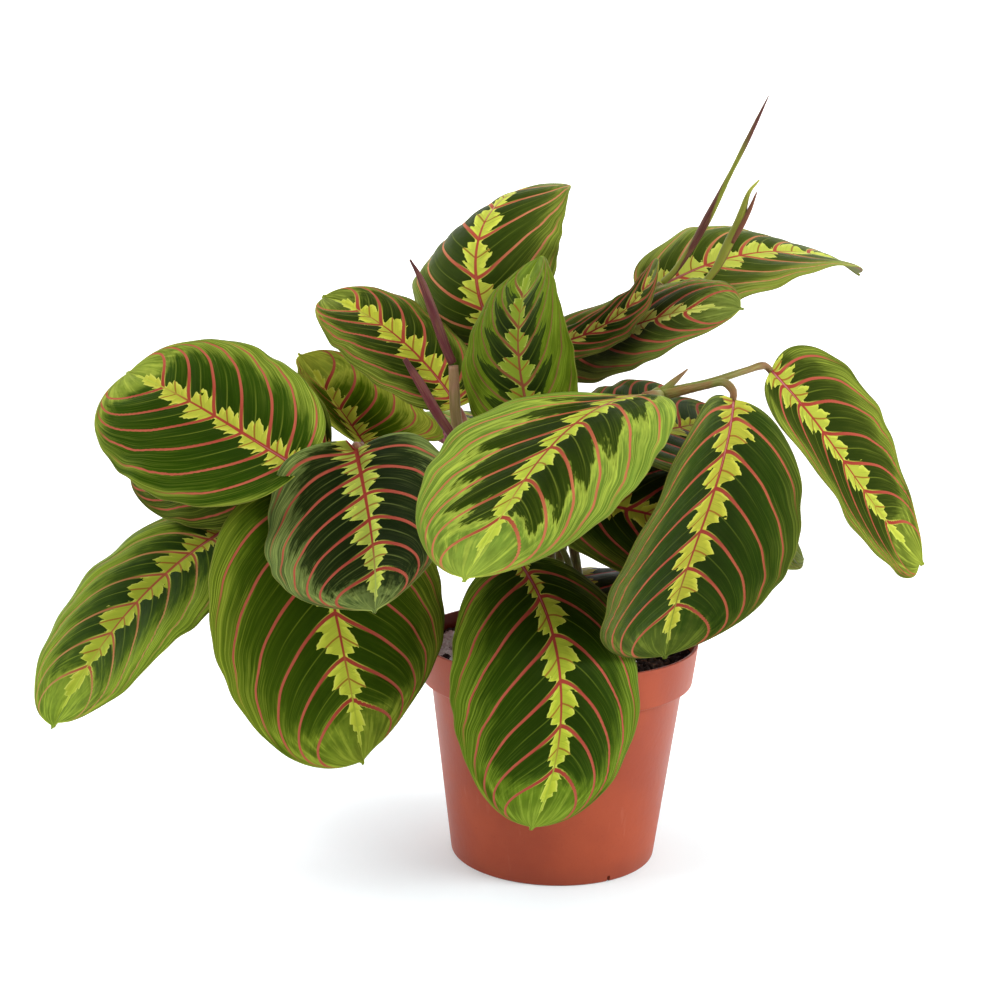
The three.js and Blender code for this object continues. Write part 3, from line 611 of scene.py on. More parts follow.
def bladeSpine(leaf):
    heading, pitch, roll = (math.radians(angle) for angle in leaf["aim"])
    level = math.cos(pitch)
    along = Vector((level * math.cos(heading), level * math.sin(heading), math.sin(pitch)))
    across = Vector((-math.sin(heading), math.cos(heading), 0))
    above = along.cross(across)
    start = Matrix.Rotation(roll, 3, along)
    across, above = start @ across, start @ above
    centre = Vector(leaf["base"])
    steps = bladeShape["spineSteps"]
    stations = [(*centre, *along, *across, *above)]
    for i in range(steps):
        s = (i + 0.5) / steps
        arch = 2 * (leaf["arch"][0] * (1 - s) + leaf["arch"][1] * s)
        turn = (across * math.radians(arch) + above * math.radians(leaf.get("sweep", 0))
                + along * math.radians(leaf.get("twist", 0))) / steps
        before = along.copy()
        if turn.length > 0:
            bend = Matrix.Rotation(turn.length, 3, turn.normalized())
            along, across, above = bend @ along, bend @ across, bend @ above
        centre = centre + (before + along) * (leaf["size"][0] / steps / 2)
        stations.append((*centre, *along, *across, *above))
    return np.array(stations)


def spineAt(leaf, s):
    stations = bladeSpine(leaf)
    shares = np.linspace(0, 1, len(stations))
    values = np.stack([np.interp(s, shares, column) for column in stations.T], -1)
    return values[:, 0:3], values[:, 3:6], values[:, 6:9], values[:, 9:12]


def veinPattern(s, t, seed):
    # q is where the vein through a point leaves the midrib: veins curve toward the tip, along the margin
    side = np.tanh(9 * t)
    reach = 0.94 * np.abs(t)
    q = s * (1 - reach) / (1 - reach * s)
    rng = random.Random(seed)
    starts = np.array([v + rng.uniform(-0.008, 0.008) for v in veinStarts])
    offset = rng.choice((-1, 1)) * rng.uniform(0.012, 0.026) * side
    marks = np.arange(1, len(starts) + 1)
    starts = np.concatenate(([-0.03], starts, [1.06]))
    marks = np.concatenate(([0], marks, [marks[-1] + 0.62]))
    run = np.interp(q + offset, starts, marks)
    lobeStarts = np.concatenate((starts[:-1], tipLobes))
    lobe = np.interp(s + offset, lobeStarts, np.arange(len(lobeStarts)))
    return run, lobe


def surfaceNormals(grid):
    lengthwise = np.gradient(grid, axis=0)
    crosswise = -np.gradient(grid, axis=1)
    normals = np.cross(lengthwise, crosswise)
    return normals / np.maximum(np.linalg.norm(normals, axis=2, keepdims=True), 1e-9)


def bladeGrid(leaf, seed, rows, columns):
    s = 0.5 - 0.5 * np.cos(np.pi * np.arange(rows + 1) / rows)
    centre, along, across, above = spineAt(leaf, s)
    t = np.broadcast_to(np.linspace(1, -1, 2 * columns + 1), (rows + 1, 2 * columns + 1))
    down = s[:, None]
    side = np.sign(t)
    out = np.abs(t)
    middleShare = np.sin(np.pi * down)
    ripple = sum(np.sin(2 * np.pi * (f * down + 0.37 * seed) + 2 * side) for f in (2.3, 4.9, 8.3)) / 3
    width = halfWidthAt(s)[:, None] * (1 + bladeShape["ripple"] * ripple * middleShare)
    length, leftHalf, rightHalf = leaf["size"]
    half = np.where(t > 0, leftHalf, rightHalf)
    fold = np.radians(np.where(t > 0, *leaf["fold"]))
    droop = np.radians(np.where(t > 0, *leaf["droop"]))
    droop = np.where(droop == 0, 1e-4, droop)
    bent = fold - droop * width * out
    outward = half / droop * (np.sin(fold) - np.sin(bent))
    lift = half / droop * (np.cos(bent) - np.cos(fold))
    heel = bladeShape["heel"] * length * width * out * np.clip(1 - down / bladeShape["widestAt"], 0, 1) ** 2
    grid = (centre[:, None, :] + across[:, None, :] * (side * outward)[..., None]
            + above[:, None, :] * lift[..., None] - along[:, None, :] * heel[..., None])
    for atS, atT, reachS, reachT, move in leaf.get("nudges", ()):
        share = np.exp(-((down - atS) / reachS) ** 2 - ((t - atT) / reachT) ** 2)
        grid = grid + share[..., None] * np.array(move, dtype=float)
    run, lobe = veinPattern(down, t, seed)
    # slope of the vein pattern on the flat blade, per mm
    runDown = np.gradient(run, axis=0) / np.gradient(s)[:, None]
    runOut = np.gradient(run, axis=1) / np.gradient(t[0])[None, :]
    narrowing = (np.gradient(halfWidthAt(s)) / np.gradient(s))[:, None]
    slope = np.hypot((runDown - runOut * t * narrowing / width) / length, runOut / (half * width))
    # the blade bulges between its veins, and the margin waves a little
    bulge = np.abs(np.sin(np.pi * run)) ** 0.8
    fade = np.clip(out / 0.12, 0, 1) * np.clip((1 - out) / 0.15, 0, 1) * np.clip(middleShare, 0, 1) ** 0.5
    rng = random.Random(seed + 7)
    waves = sum(np.sin(2 * np.pi * (f * down + rng.random()) + 1.5 * side) for f in (3.1, 5.3)) / 2
    wave = bladeShape["marginWave"] * waves * out ** 3 * middleShare
    grid = grid + surfaceNormals(grid) * (bladeShape["quilting"] * bulge * fade + wave)[..., None]
    place = np.stack([np.broadcast_to(down, t.shape), t, half * width * t], -1)
    veins = np.stack([run, slope, lobe], -1)
    thick = bladeShape["thickness"] + (bladeShape["edgeThickness"] - bladeShape["thickness"]) * out ** 2
    return grid, surfaceNormals(grid) * thick[..., None] / 2, place, veins


def midribTube(leaf, rows, sides, startPoint):
    # the rib stands out of the underside and thins toward the tip
    s = np.linspace(0, bladeShape["ribEnd"], rows)
    centre, along, across, above = spineAt(leaf, s)
    radius = bladeShape["ribRadius"] * (1 - s) ** 0.9
    points, place = [], []
    for i in range(rows):
        middle = centre[i] - above[i] * bladeShape["ribDrop"]
        for k in range(sides):
            angle = fullTurn * k / sides
            outward = across[i] * math.cos(angle) + above[i] * 0.8 * math.sin(angle)
            points.append(middle + outward * radius[i])
            place.append((s[i], 0, 0))
    return points, place, tubeFaces(rows, sides, startPoint)


# the blade's places on its bake map, as shares of it
bakeMap = {
    "length": (0.01, 0.99),
    "upper": (0.53, 0.99),
    "under": (0.01, 0.47),
    "edge": (0.512, 0.502),
    "rib": (0.478, 0.496),
    "ribLength": (0.01, 0.91),
    "ribEnds": (0.94, 0.97),
    "ribEndRadius": 0.008,
}


def spanOf(index, count, limits):
    # the stretch of one face in a row of them
    low, high = limits
    return low + (high - low) * index / count, low + (high - low) * (index + 1) / count


def bakeBox(u, v, flipped=False):
    box = [(u[0], v[0]), (u[0], v[1]), (u[1], v[1]), (u[1], v[0])]
    return [box[0], box[3], box[2], box[1]] if flipped else box


def bladeFaces(rows, wide):
    # upper side, underside and edge, each with the number of its finish and its corners on the bake map
    count = (rows + 1) * wide
    faces, finish, bake = [], [], []
    for row in range(rows):
        u = spanOf(row, rows, bakeMap["length"])
        for column in range(wide - 1):
            a = row * wide + column
            faces.append((a, a + 1, a + wide + 1, a + wide))
            bake.append(bakeBox(u, spanOf(column, wide - 1, bakeMap["upper"])))
            faces.append((a + count, a + wide + count, a + wide + 1 + count, a + 1 + count))
            bake.append(bakeBox(u, spanOf(column, wide - 1, bakeMap["under"]), True))
            finish += [0, 1]
    edge = [row * wide for row in range(rows + 1)]
    edge += [rows * wide + column for column in range(1, wide)]
    edge += [row * wide + wide - 1 for row in range(rows - 1, -1, -1)]
    edge += [column for column in range(wide - 2, 0, -1)]
    for i, p in enumerate(edge):
        q = edge[(i + 1) % len(edge)]
        faces.append((p, q, q + count, p + count))
        bake.append(bakeBox(spanOf(i, len(edge), bakeMap["length"]), bakeMap["edge"], True))
        finish.append(0)
    return faces, finish, bake


def ribBake(rows, sides):
    bake = []
    for i in range(rows - 1):
        u = spanOf(i, rows, bakeMap["ribLength"])
        bake += [bakeBox(u, spanOf(k, sides, bakeMap["rib"])) for k in range(sides)]
    radius = bakeMap["ribEndRadius"]
    middle = sum(bakeMap["rib"]) / 2
    for end in bakeMap["ribEnds"]:
        angles = [fullTurn * k / sides for k in range(sides)]
        bake.append([(end + radius * math.cos(a), middle + radius * math.sin(a)) for a in angles])
    return bake


def makeBlade(name, leaf, seed):
    rows, columns = bladeShape["rows"], bladeShape["columns"]
    ribRows, ribSides = bladeShape["ribRows"], bladeShape["ribSides"]
    grid, half, place, veins = bladeGrid(leaf, seed, rows, columns)
    faces, finish, bake = bladeFaces(rows, 2 * columns + 1)
    ribPoints, ribPlace, ribFaces = midribTube(leaf, ribRows, ribSides, 2 * grid.shape[0] * grid.shape[1])
    points = np.concatenate([(grid + half).reshape(-1, 3), (grid - half).reshape(-1, 3), np.array(ribPoints)])
    materials = [
        upperMaterial(name, leaf["look"], seed),
        undersideMaterial(name, leaf["look"], seed),
        ribMaterial(name),
    ]
    piece = makePiece(name + "_blade", points * mm, faces + ribFaces, name, materials)
    mesh = piece.data
    mesh.polygons.foreach_set("material_index", finish + [2] * len(ribFaces))
    place = place.reshape(-1, 3)
    veins = veins.reshape(-1, 3)
    vectorAttribute(mesh, "blade_place", np.concatenate([place, place, np.array(ribPlace)]))
    vectorAttribute(mesh, "vein_place", np.concatenate([veins, veins, np.zeros((len(ribPlace), 3))]))
    layer = mesh.uv_layers.new(name="OFBake")
    corners = [corner for box in bake + ribBake(ribRows, ribSides) for corner in box]
    layer.data.foreach_set("uv", np.array(corners, dtype=np.float32).ravel())


def patternNoise(x, y, kind, z, detail=3.0):
    fineX, fineY = markings[kind]
    return spread(together(x * fineX, y * fineY, z), 1, detail, 0.6)


def veinDistance(run, slope):
    # mm to the nearest lateral vein
    return abs(run - calc("ROUND", run)) / slope


def limeLobes(look, s, t, x, run, lobe, seed):
    # mm inside the edge of the lobes: one between each two veins, toothed and widest toward the tip
    wobble = patternNoise(s, t, "wobble", seed + 6, 2)
    cell = calc("FRACT", lobe + (wobble - 0.5) * 0.16)
    teeth = calc("FRACT", cell * markings["teeth"] + (wobble - 0.5) * 0.8)
    eachLobe = together(calc("FLOOR", lobe), calc("SIGN", t), seed)
    own = (spread(eachLobe, 3.7, 0) - 0.5) * markings["ownSize"] + 1
    rise = ramp(cell, 0.0, 0.5, markings["neck"], markings["crest"])
    rise = rise + (teeth - 0.4) * markings["toothDepth"] * ramp(cell, 0.05, 0.4)
    rise = rise * own * ramp(cell, 0.86, 0.92, 1.0, 0.28)
    grown = ramp(s, 0.05, 0.3, look["baseLobe"], 1.0) * ramp(s, 0.5, 0.9, 1.0, 0.36)
    grown = grown * ramp(s, 0.86, 0.95, 1.0, 0.0)
    return rise * grown * look["lobe"] - (x + (wobble - 0.5) * 1.0)


def upperMaterial(name, look, seed):
    material, tree, shader = newMaterial(name + "_upper", 0.42, look["gloss"])
    shader.inputs["Specular Tint"].default_value = colour(markings["sheen"])
    dark, ground, margin, streak, lime = look["colours"]
    vein, veinOuter = look["veins"]
    s, t, x = attribute(tree, "blade_place")
    run, slope, lobe = attribute(tree, "vein_place")
    out = abs(t)
    x = abs(x)
    blotch = patternNoise(run, t, "blotches", seed)
    feather = patternNoise(run, t, "feathers", seed + 2)
    # fine lines follow the veins, and run straight on into the tip
    hair = between(ramp(s, 0.74, 0.88), patternNoise(run, t, "lines", seed + 4, 2),
                   patternNoise(t, s, "tipLines", seed + 8, 2))
    # ground colour, from the dark zone beside the midrib to a light band and the margin
    reach, soft = look["darkReach"], look["soft"]
    nearEdge = calc("MAXIMUM", out, ramp(s, 0.5, 1.0, smooth=False))
    zone = nearEdge + (blotch - 0.5) * (look["feather"] * 2)
    zone = zone + (feather - 0.5) * (look["feather"] * look["ragged"]) + t * look["side"]
    zone = zone + (calc("FRACT", run * 3) - 0.5) * look["teeth"]
    zone = zone + calc("COSINE", run * fullTurn) * look["scallop"]
    zone = zone + ramp(s, 0.7, 1.0, 0.0, look["tipLight"])
    lightShare = ramp(zone, reach - soft, reach + soft)
    body = blend(ramp(zone, 0.12, reach), dark, ground)
    band = blend(ramp(zone, reach + soft - 0.1, reach + soft + 0.24, look["band"], 0.0), margin, streak)
    band = blend(ramp(s, 0.8, 1.0, 0.0, look["tipLight"]), band, streak)
    body = blend(lightShare, body, band)
    streakShare = ramp(hair, 0.5, 0.62) * ramp(lightShare, 0.0, 1.0, 0.14, 0.6)
    body = blend(streakShare * ramp(nearEdge, 0.25, 0.8, 0.1, 1.0), body, streak)
    body = blend(ramp(hair, 0.5, 0.36) * ramp(out, 0.2, 0.7, 0.1, 0.5) * look["lines"], body, dark)
    body = blend(ramp(blotch, 0.35, 0.7, 0.0, 0.35), body, dark)
    # lime lobes along the midrib, and a fringe of their colour along the veins
    inside = limeLobes(look, s, t, x, run, lobe, seed)
    away = veinDistance(run, slope)
    fringe = ramp(away, *markings["fringe"], 1.0, 0.0)
    fringe = fringe * ramp(x, look["lobe"] * 0.35, look["lobe"] * 1.3, 0.8, 0.0)
    before = calc("MAXIMUM", ramp(calc("FRACT", run), 0.86, 0.92, 1.0, 0.0), ramp(x, 2.2, 2.8, 1.0, 0.0))
    limeShare = calc("MAXIMUM", ramp(inside, -0.2, 0.2) * before, fringe)
    lime = blend(ramp(inside, 0.8, 3.0, 0.0, 0.3), lime, margin)
    lime = blend(ramp(hair, 0.5, 0.7, 0.0, 0.3), lime, margin)
    lime = blend(limeShare * ramp(inside, 0.2, 0.8, 0.35, 0.0), lime, markings["lobeRim"])
    lime = blend(ramp(s, 0.82, 0.96, 0.0, 0.8), lime, streak)
    body = blend(limeShare, body, lime)
    # thin secondary veins half way between the main ones
    halfAway = abs(calc("FRACT", run) - 0.5) / slope
    inLobe = ramp(halfAway, 0.2, 0.5, 1.0, 0.0) * limeShare * ramp(s, 0.7, 0.85, 0.8, 0.0)
    outside = ramp(halfAway, 0.1, 0.35, 1.0, 0.0) * ramp(out, 0.3, 0.7, 0.22, 0.0)
    body = blend(outside, body, streak)
    body = blend(inLobe, body, markings["lobeVein"])
    # red lateral veins
    inner, outer = (half * look["veinWide"] for half in markings["veinHalf"])
    veinHalf = ramp(out, 0.0, 0.95, inner, outer, smooth=False)
    veinShare = ramp(veinHalf - (away + (feather - 0.5) * 0.3), -0.16, 0.14) * ramp(out, 0.86, 0.98, 1.0, 0.0)
    veinShare = veinShare * ramp(run, 0.5, 0.8) * ramp(s, 0.93, 0.99, 1.0, 0.0)
    veinColour = blend(ramp(out, 0.05, 0.6), vein, veinOuter)
    veinColour = blend(ramp(hair, 0.4, 0.7, 0.0, 0.35), veinColour, vein)
    body = blend(veinShare, body, veinColour)
    # midrib, red at the base and yellow-green at the tip
    ribShare = ramp(ramp(s, 0.0, 1.0, *markings["ribHalf"], smooth=False) - x, -0.15, 0.2)
    body = blend(ribShare, body, blend(ramp(s, 0.55, 0.85), vein, streak))
    # thin dry rim of the blade
    body = blend(ramp(out, 0.985, 1.0, 0.0, 0.5), body, markings["dryRim"])
    feed(shader.inputs["Roughness"], ramp(spread(ownPlace(tree), 240, 2), 0.3, 0.7, 0.38, 0.52))
    relief = spread(ownPlace(tree), 1500, 2) * 0.12 - veinShare * 0.5 + hair * 0.45
    paint(shader, body, relief, 0.6, 0.0004)
    return material


def undersideMaterial(name, look, seed):
    material, tree, shader = newMaterial(name + "_underside", 0.5, 0.04)
    t = attribute(tree, "blade_place")[1]
    run, slope = attribute(tree, "vein_place")[:2]
    out = abs(t)
    lineX, lineY = markings["underLines"]
    hair = spread(together(run * lineX, t * lineY, seed), 1)
    body = blend(ramp(hair, 0.35, 0.7, 0.0, 0.6), look["under"], look.get("underLine", markings["underLine"]))
    body = blend(ramp(out, 0.75, 1.0, 0.0, 0.45), body, markings["underRim"])
    veinShare = ramp(veinDistance(run, slope), 0.3, 0.7, 1.0, 0.0) * ramp(out, 0.8, 0.97, 1.0, 0.0)
    body = blend(veinShare * 0.8, body, markings["underVein"])
    relief = spread(ownPlace(tree), 1300, 2) * 0.15 + veinShare * 0.6
    paint(shader, body, relief, 0.5, 0.0004)
    return material


def ribMaterial(name):
    material, tree, shader = newMaterial(name + "_rib", 0.45)
    s = attribute(tree, "blade_place")[0]
    body = blend(ramp(s, 0.0, 0.8), *markings["rib"])
    body = blend(ramp(spread(ownPlace(tree), 300, 2), 0.4, 0.7, 0.0, 0.4), body, markings["ribPatch"])
    feed(shader.inputs["Base Color"], body)
    return material


def makeLeaves():
    for index, (name, leaf) in enumerate(leafPieces.items()):
        makeBlade(name, leaf, 11 * index + 3)
    print("leaf blades made:", len(leafPieces))


# stems, stalks and spikes

stemShape = {
    "soilTop": 89,  # mm
    "holeDepth": 34,
    "fitGap": 0.3,
    "stalkRadii": (1.9, 1.5, 1.3),
    "stalkGap": 0.5,
    "straight": 3,  # mm of the stalk that runs straight into the blade
    "sides": 14,
    "step": 1.8,
    "spikeSides": 24,
    "spikeStep": 1.2,
    "line": "#949a54",
    "joint": "#743830",
    "jointReach": 40,  # mm from an end at which nothing of its red is left
    "prongReach": 9,  # mm, the same for a torn-off prong
    "pointed": 0.5,  # mm, a branch that ends thinner than this is a sheath
    "spikeLine": "#7a6238",
}

shootPieces = {
    "shoot_right": {
        "stem": [(2, -12), (-8, -22, 128), (-11, -32, 152), (-4, -46, 178), (14, -57, 194), (28, -54, 203),
                 (37, -48, 208)],
        "radii": (3, 2.7, 2.5, 2.5, 2.4, 2.5, 2.9),
        "stalks": {
            "leaf_far_right": [(37, -48, 207), (44, -45, 209), (57, -38, 211.5), (71, -29, 215)],
            "leaf_right_front": [(37, -48, 207), (47, -51, 210), (55, -57, 213), (61, -63, 215)],
            "leaf_front_bright": [(37, -48, 207), (36, -58, 209)],
            "leaf_right_inner": [(0, -49, 182), (7, -52, 187)],
        },
        "branches": [([(37, -48, 208), (42, -46, 212), (48, -42, 217)], (1.6, 1.3, 0.3))],
        "green": "#6b7a35", "blush": "#7a4a2c"},
    "shoot_upper_left": {
        "stem": [(-12, -3), (-30, -14, 130), (-38, -22, 170), (-43, -26, 190), (-45, -26, 214)],
        "radii": (3, 2.8, 2.8, 2.6, 2),
        "stalks": {
            "leaf_upper_left": [(-38, -22, 172), (-40, -16, 186)],
            "leaf_low_left": [(-22, -10, 112), (-32, 1, 122)],
        },
        "green": "#7a6a40", "blush": "#8a6250", "line": "#9a7c62"},
    "shoot_right_back": {
        "stem": [(12, 6), (4, 11, 140), (-3, 14, 165), (-7, 18, 184), (0, 22, 200), (12, 23, 212),
                 (22, 22, 219), (33, 18, 236), (39.5, 17.6, 245)],
        "radii": (2.8, 2.4, 2.2, 2.1, 2.1, 2, 1.7),
        "stalks": {
            "leaf_right_top": [(20, 22, 216), (24, 32, 226)],
            "leaf_inner_back": [(0, 13, 157), (2, 8, 172)],
            "leaf_right_behind": [(2, 12, 148), (20, 13, 156), (38, 13, 163), (48, 12, 172), (52, 0, 178)],
        },
        "branches": [([(21, 22, 218), (38, 21, 225), (50, 18, 237), (56, 17.5, 244)], (1.6, 1.3))],
        "green": "#4a5a26", "blush": "#5a3a26"},
    "shoot_left": {
        "stem": [(-22, -14), (-28, -20, 120), (-42, -30, 152), (-62, -37, 162), (-78, -41, 169),
                 (-90, -44, 173)],
        "radii": (3, 2.8, 2.6, 2.4, 2.2, 2),
        "stalks": {
            "leaf_left_high": [(-84, -42, 171), (-88, -47, 172), (-93, -58, 175)],
            "leaf_left_behind": [(-75, -40, 168), (-86, -39, 176)],
            "leaf_left_low": [(-75, -40, 168), (-86, -34, 162), (-104, -27, 158), (-120, -27, 153)],
            "leaf_left_hanging": [(-88, -43, 172), (-98, -47, 178)],
            "leaf_round_dark": [(-76, -40, 168), (-80, -43, 180)],
            "leaf_left_back": [(-82, -42, 170), (-87, -40, 174), (-86, -33, 179)],
        },
        "green": "#6b7a35", "blush": "#7a4a2c"},
    "shoot_centre": {
        "stem": [(-2, 2), (-6, 4, 150), (-9, 8, 190), (-13, 10, 203)],
        "radii": (3, 2.6, 2.4, 2),
        "stalks": {
            "leaf_centre_upright": [(-6, 4, 150), (-5, -20, 170)],
            "leaf_top": [(-10, 9, 194), (-20, 24, 206)],
            "leaf_right_upper": [(-12, 10, 201), (-17, 13, 212)],
            "leaf_right_folded": [(-11, 9, 197), (-18, -6, 214)],
        },
        "green": "#5d6e30", "blush": "#6a4028"},
    "shoot_back": {
        "stem": [(-6, 9), (-4, 12, 106), (2, 26, 140), (2, 30, 158)],
        "radii": (3, 2.8, 2.6, 2.4),
        "stalks": {
            "leaf_back_centre": [(2, 29, 154), (7, 32, 168)],
            "leaf_back_tall": [(2, 28, 150), (-9, 33, 162)],
            "leaf_back_left": [(1, 23, 132), (-22, 20, 152)],
            "leaf_back_right": [(1, 23, 132), (20, 20, 146)],
        },
        "green": "#5d6e30", "blush": "#6a4028"},
}

soilStalkPieces = {
    "stalk_front_hanging": {
        "stem": [(-8, -20), (-14, -36, 118), (-19, -46, 136)], "radii": (1.8, 1.6, 1.4),
        "blade": "leaf_front_hanging", "green": "#7a7d38", "blush": "#7a4a2c"},
    "stalk_inner_low": {
        "stem": [(10, -4), (4, -6, 128), (-7, -12, 152)], "radii": (1.8, 1.6, 1.4),
        "blade": "leaf_inner_low", "green": "#5d6e30", "blush": "#6a4028"},
    "stalk_rear_low": {
        "stem": [(8, 13)], "radii": (1.8,),
        "blade": "leaf_rear_low", "green": "#7a4a34", "blush": "#7a3a2c"},
    "stalk_low_right": {
        "stem": [(22, 2), (27, 6, 112)], "radii": (1.8, 1.5),
        "blade": "leaf_low_right", "green": "#5d6e30", "blush": "#6a4028"},
}

# band: where the outer colour starts and ends round the roll, wind: turns per mm, endReach: mm of end colour
spikePieces = {
    "spike_tall": {
        "tubes": [([(40, 17.5, 245.5), (45, 16.5, 251), (53, 16, 264), (65, 10, 290), (72, 6, 306),
                    (79, 2, 323)], (1.4, 1.5, 1.7, 1.8, 1.3, 0.95, 1.1, 0.8, 0.2))],
        "outer": "#54302a", "inner": "#747c2a", "end": "#5a3430",
        "band": (0.42, 0.9), "wind": 0.0165, "endReach": 30},
    "spike_torn": {
        "tubes": [([(56.3, 17.5, 244.5), (62, 18, 252), (67, 18, 263), (71, 16, 273), (74, 14, 284),
                    (78, 14, 289)], (1.3, 1.7, 2.2, 2.1, 1.9, 1, 0.4)),
                  ([(68, 17, 263), (72, 15, 271), (75, 14, 278), (77, 13, 284)], (1.2, 1.3, 1, 0.3))],
        "outer": "#6c4232", "inner": "#7e8430", "end": "#a0a448",
        "band": (0.38, 0.72), "wind": 0, "endReach": 9},
    "spike_purple": {
        "tubes": [([(-45.4, -26.1, 215.1), (-48, -27, 221), (-53, -26, 234), (-59, -25, 249),
                    (-63, -25, 256)], (1.9, 2.1, 2, 1.5, 0.4))],
        "outer": "#54262a", "inner": "#603634", "end": "#4a2426",
        "band": (0.1, 0.6), "wind": 0.01, "endReach": 7},
    "spike_purple_low": {
        "tubes": [([(-41.7, -28.1, 179), (-45, -33, 187), (-51, -34, 196), (-57, -33, 206),
                    (-64, -32, 217)], (1.5, 2, 2.1, 1.9, 1.1))],
        "outer": "#5a282c", "inner": "#643434", "end": "#4a2426",
        "band": (0.1, 0.6), "wind": 0.01, "endReach": 7},
}


def routeThrough(points, step):
    # centripetal curve through the points, then even steps along it
    points = [np.array(p, dtype=float) for p in points]
    padded = [2 * points[0] - points[1], *points, 2 * points[-1] - points[-2]]
    dense = []
    for i in range(len(points) - 1):
        p0, p1, p2, p3 = padded[i:i + 4]
        d0, d1, d2 = (max(np.linalg.norm(b - a), 1e-6) ** 0.5 for a, b in ((p0, p1), (p1, p2), (p2, p3)))
        m1 = ((p1 - p0) / d0 - (p2 - p0) / (d0 + d1) + (p2 - p1) / d1) * d1
        m2 = ((p2 - p1) / d1 - (p3 - p1) / (d1 + d2) + (p3 - p2) / d2) * d1
        for k in range(40):
            u = k / 40
            dense.append(p1 + m1 * u + (-3 * p1 + 3 * p2 - 2 * m1 - m2) * u * u
                         + (2 * p1 - 2 * p2 + m1 + m2) * u ** 3)
    dense.append(points[-1])
    dense = np.array(dense)
    reach = np.concatenate([[0], np.cumsum(np.linalg.norm(np.diff(dense, axis=0), axis=1))])
    count = max(6, round(reach[-1] / step))
    even = np.linspace(0, reach[-1], count + 1)
    return np.stack([np.interp(even, reach, dense[:, k]) for k in range(3)], -1), even


def tubeAlong(points, radii, step, sides, profile=None):
    # profile changes the radius by distance along, distance to the end and angle round the tube
    centres, even = routeThrough(points, step)
    tangents = np.gradient(centres, axis=0)
    tangents /= np.linalg.norm(tangents, axis=1, keepdims=True)
    radius = np.interp(even / even[-1], np.linspace(0, 1, len(radii)), radii)
    normal = np.cross(tangents[0], (0.3, 0.9, 0.2))
    rings = []
    for i, tangent in enumerate(tangents):
        normal = normal - tangent * normal.dot(tangent)
        normal /= np.linalg.norm(normal)
        other = np.cross(tangent, normal)
        for k in range(sides):
            angle = fullTurn * k / sides
            r = radius[i]
            if profile:
                r *= profile(even[i], even[-1] - even[i], angle)
            rings.append(centres[i] + (normal * math.cos(angle) + other * math.sin(angle)) * r)
    place = [(along, even[-1] - along, k / sides) for along in even for k in range(sides)]
    return rings, tubeFaces(len(centres), sides), place


def joined(parts):
    points, faces, place = [], [], []
    for partPoints, partFaces, partPlace in parts:
        base = len(points)
        points += list(partPoints)
        faces += [tuple(base + i for i in face) for face in partFaces]
        place += list(partPlace)
    return points, faces, place


def stemPoints(stem):
    x, y = stem[0]
    top, depth = stemShape["soilTop"], stemShape["holeDepth"]
    straight = [top - depth + stemShape["fitGap"], top - depth / 2, top - 4, top + 3]
    return [(x, y, z) for z in straight] + list(stem[1:])


def stalkEnd(leaf):
    start = bladeSpine(leaf)[0]
    centre, along = start[0:3], start[3:6]
    straight = leaf.get("straight", stemShape["straight"])
    return [tuple(centre - along * straight), tuple(centre - along * stemShape["stalkGap"] * 0.1)]


def stalkProfile(distance, toEnd, angle):
    # a clasping sheath at the foot and a swollen joint under the blade
    sheath = 0.22 * math.exp(-(distance / 9) ** 2) * (1 + 0.3 * math.cos(angle))
    joint = 0.22 * math.exp(-((toEnd - 6) / 4) ** 2)
    return 1 + sheath + joint + 0.02 * math.sin(distance * 1.7 + angle)


def stemProfile(distance, toEnd, angle):
    return 1 + 0.03 * math.sin(3 * angle + distance * 0.13) + 0.02 * math.sin(distance * 0.9)


def rolledProfile(distance, toEnd, angle):
    # the rolled leaf's edge steps out and winds slowly round it
    seam = (angle / fullTurn + distance / 90) % 1
    return 0.9 + 0.16 * seam


def greenMaterial(name, look):
    material, tree, shader = newMaterial(name + "_skin", 0.42, 0.15)
    along, toEnd, turn = attribute(tree, "stem_place")
    lines = spread(together(turn * 22, along * 0.12), 1)
    blotch = spread(ownPlace(tree), 60)
    body = blend(ramp(blotch, 0.38, 0.62, 0.0, 0.8), look["green"], look["blush"])
    body = blend(ramp(lines, 0.4, 0.75, 0.0, 0.5), body, look.get("line", stemShape["line"]))
    body = blend(ramp(toEnd, 3.0, 14.0, 0.65, 0.0), body, stemShape["joint"])
    paint(shader, body, lines, 0.4, 0.0004)
    return material


def spikeMaterial(name, look):
    material, tree, shader = newMaterial(name + "_skin", 0.45, 0.12)
    along, toEnd, turn = attribute(tree, "stem_place")
    lines = spread(together(turn * 30, along * 0.1), 1)
    # the rolled leaf's outer side is a band that winds round it
    band = calc("FRACT", turn + along * look["wind"] + (lines - 0.5) * 0.3)
    first, last = look["band"]
    share = ramp(band, first, first + 0.1) * ramp(band, last, last + 0.08, 1.0, 0.0)
    body = blend(share, look["inner"], look["outer"])
    body = blend(ramp(lines, 0.45, 0.75, 0.0, 0.35), body, stemShape["spikeLine"])
    body = blend(ramp(toEnd, look["endReach"] * 0.5, look["endReach"], 0.85, 0.0), body, look["end"])
    paint(shader, body, lines, 0.45, 0.0005)
    return material


def unjointed(tube):
    # a stem doesn't redden at its end, as the stalks do under their blades
    rings, faces, place = tube
    return rings, faces, [(along, toEnd + stemShape["jointReach"], turn) for along, toEnd, turn in place]


def outerSide(tube, band):
    # a torn-off prong shows the rolled leaf's outer colour all round
    rings, faces, place = tube
    start = band[0] + 0.12
    width = band[1] - band[0] - 0.14
    reach = stemShape["prongReach"]
    return rings, faces, [(along, toEnd + reach, start + width * turn) for along, toEnd, turn in place]


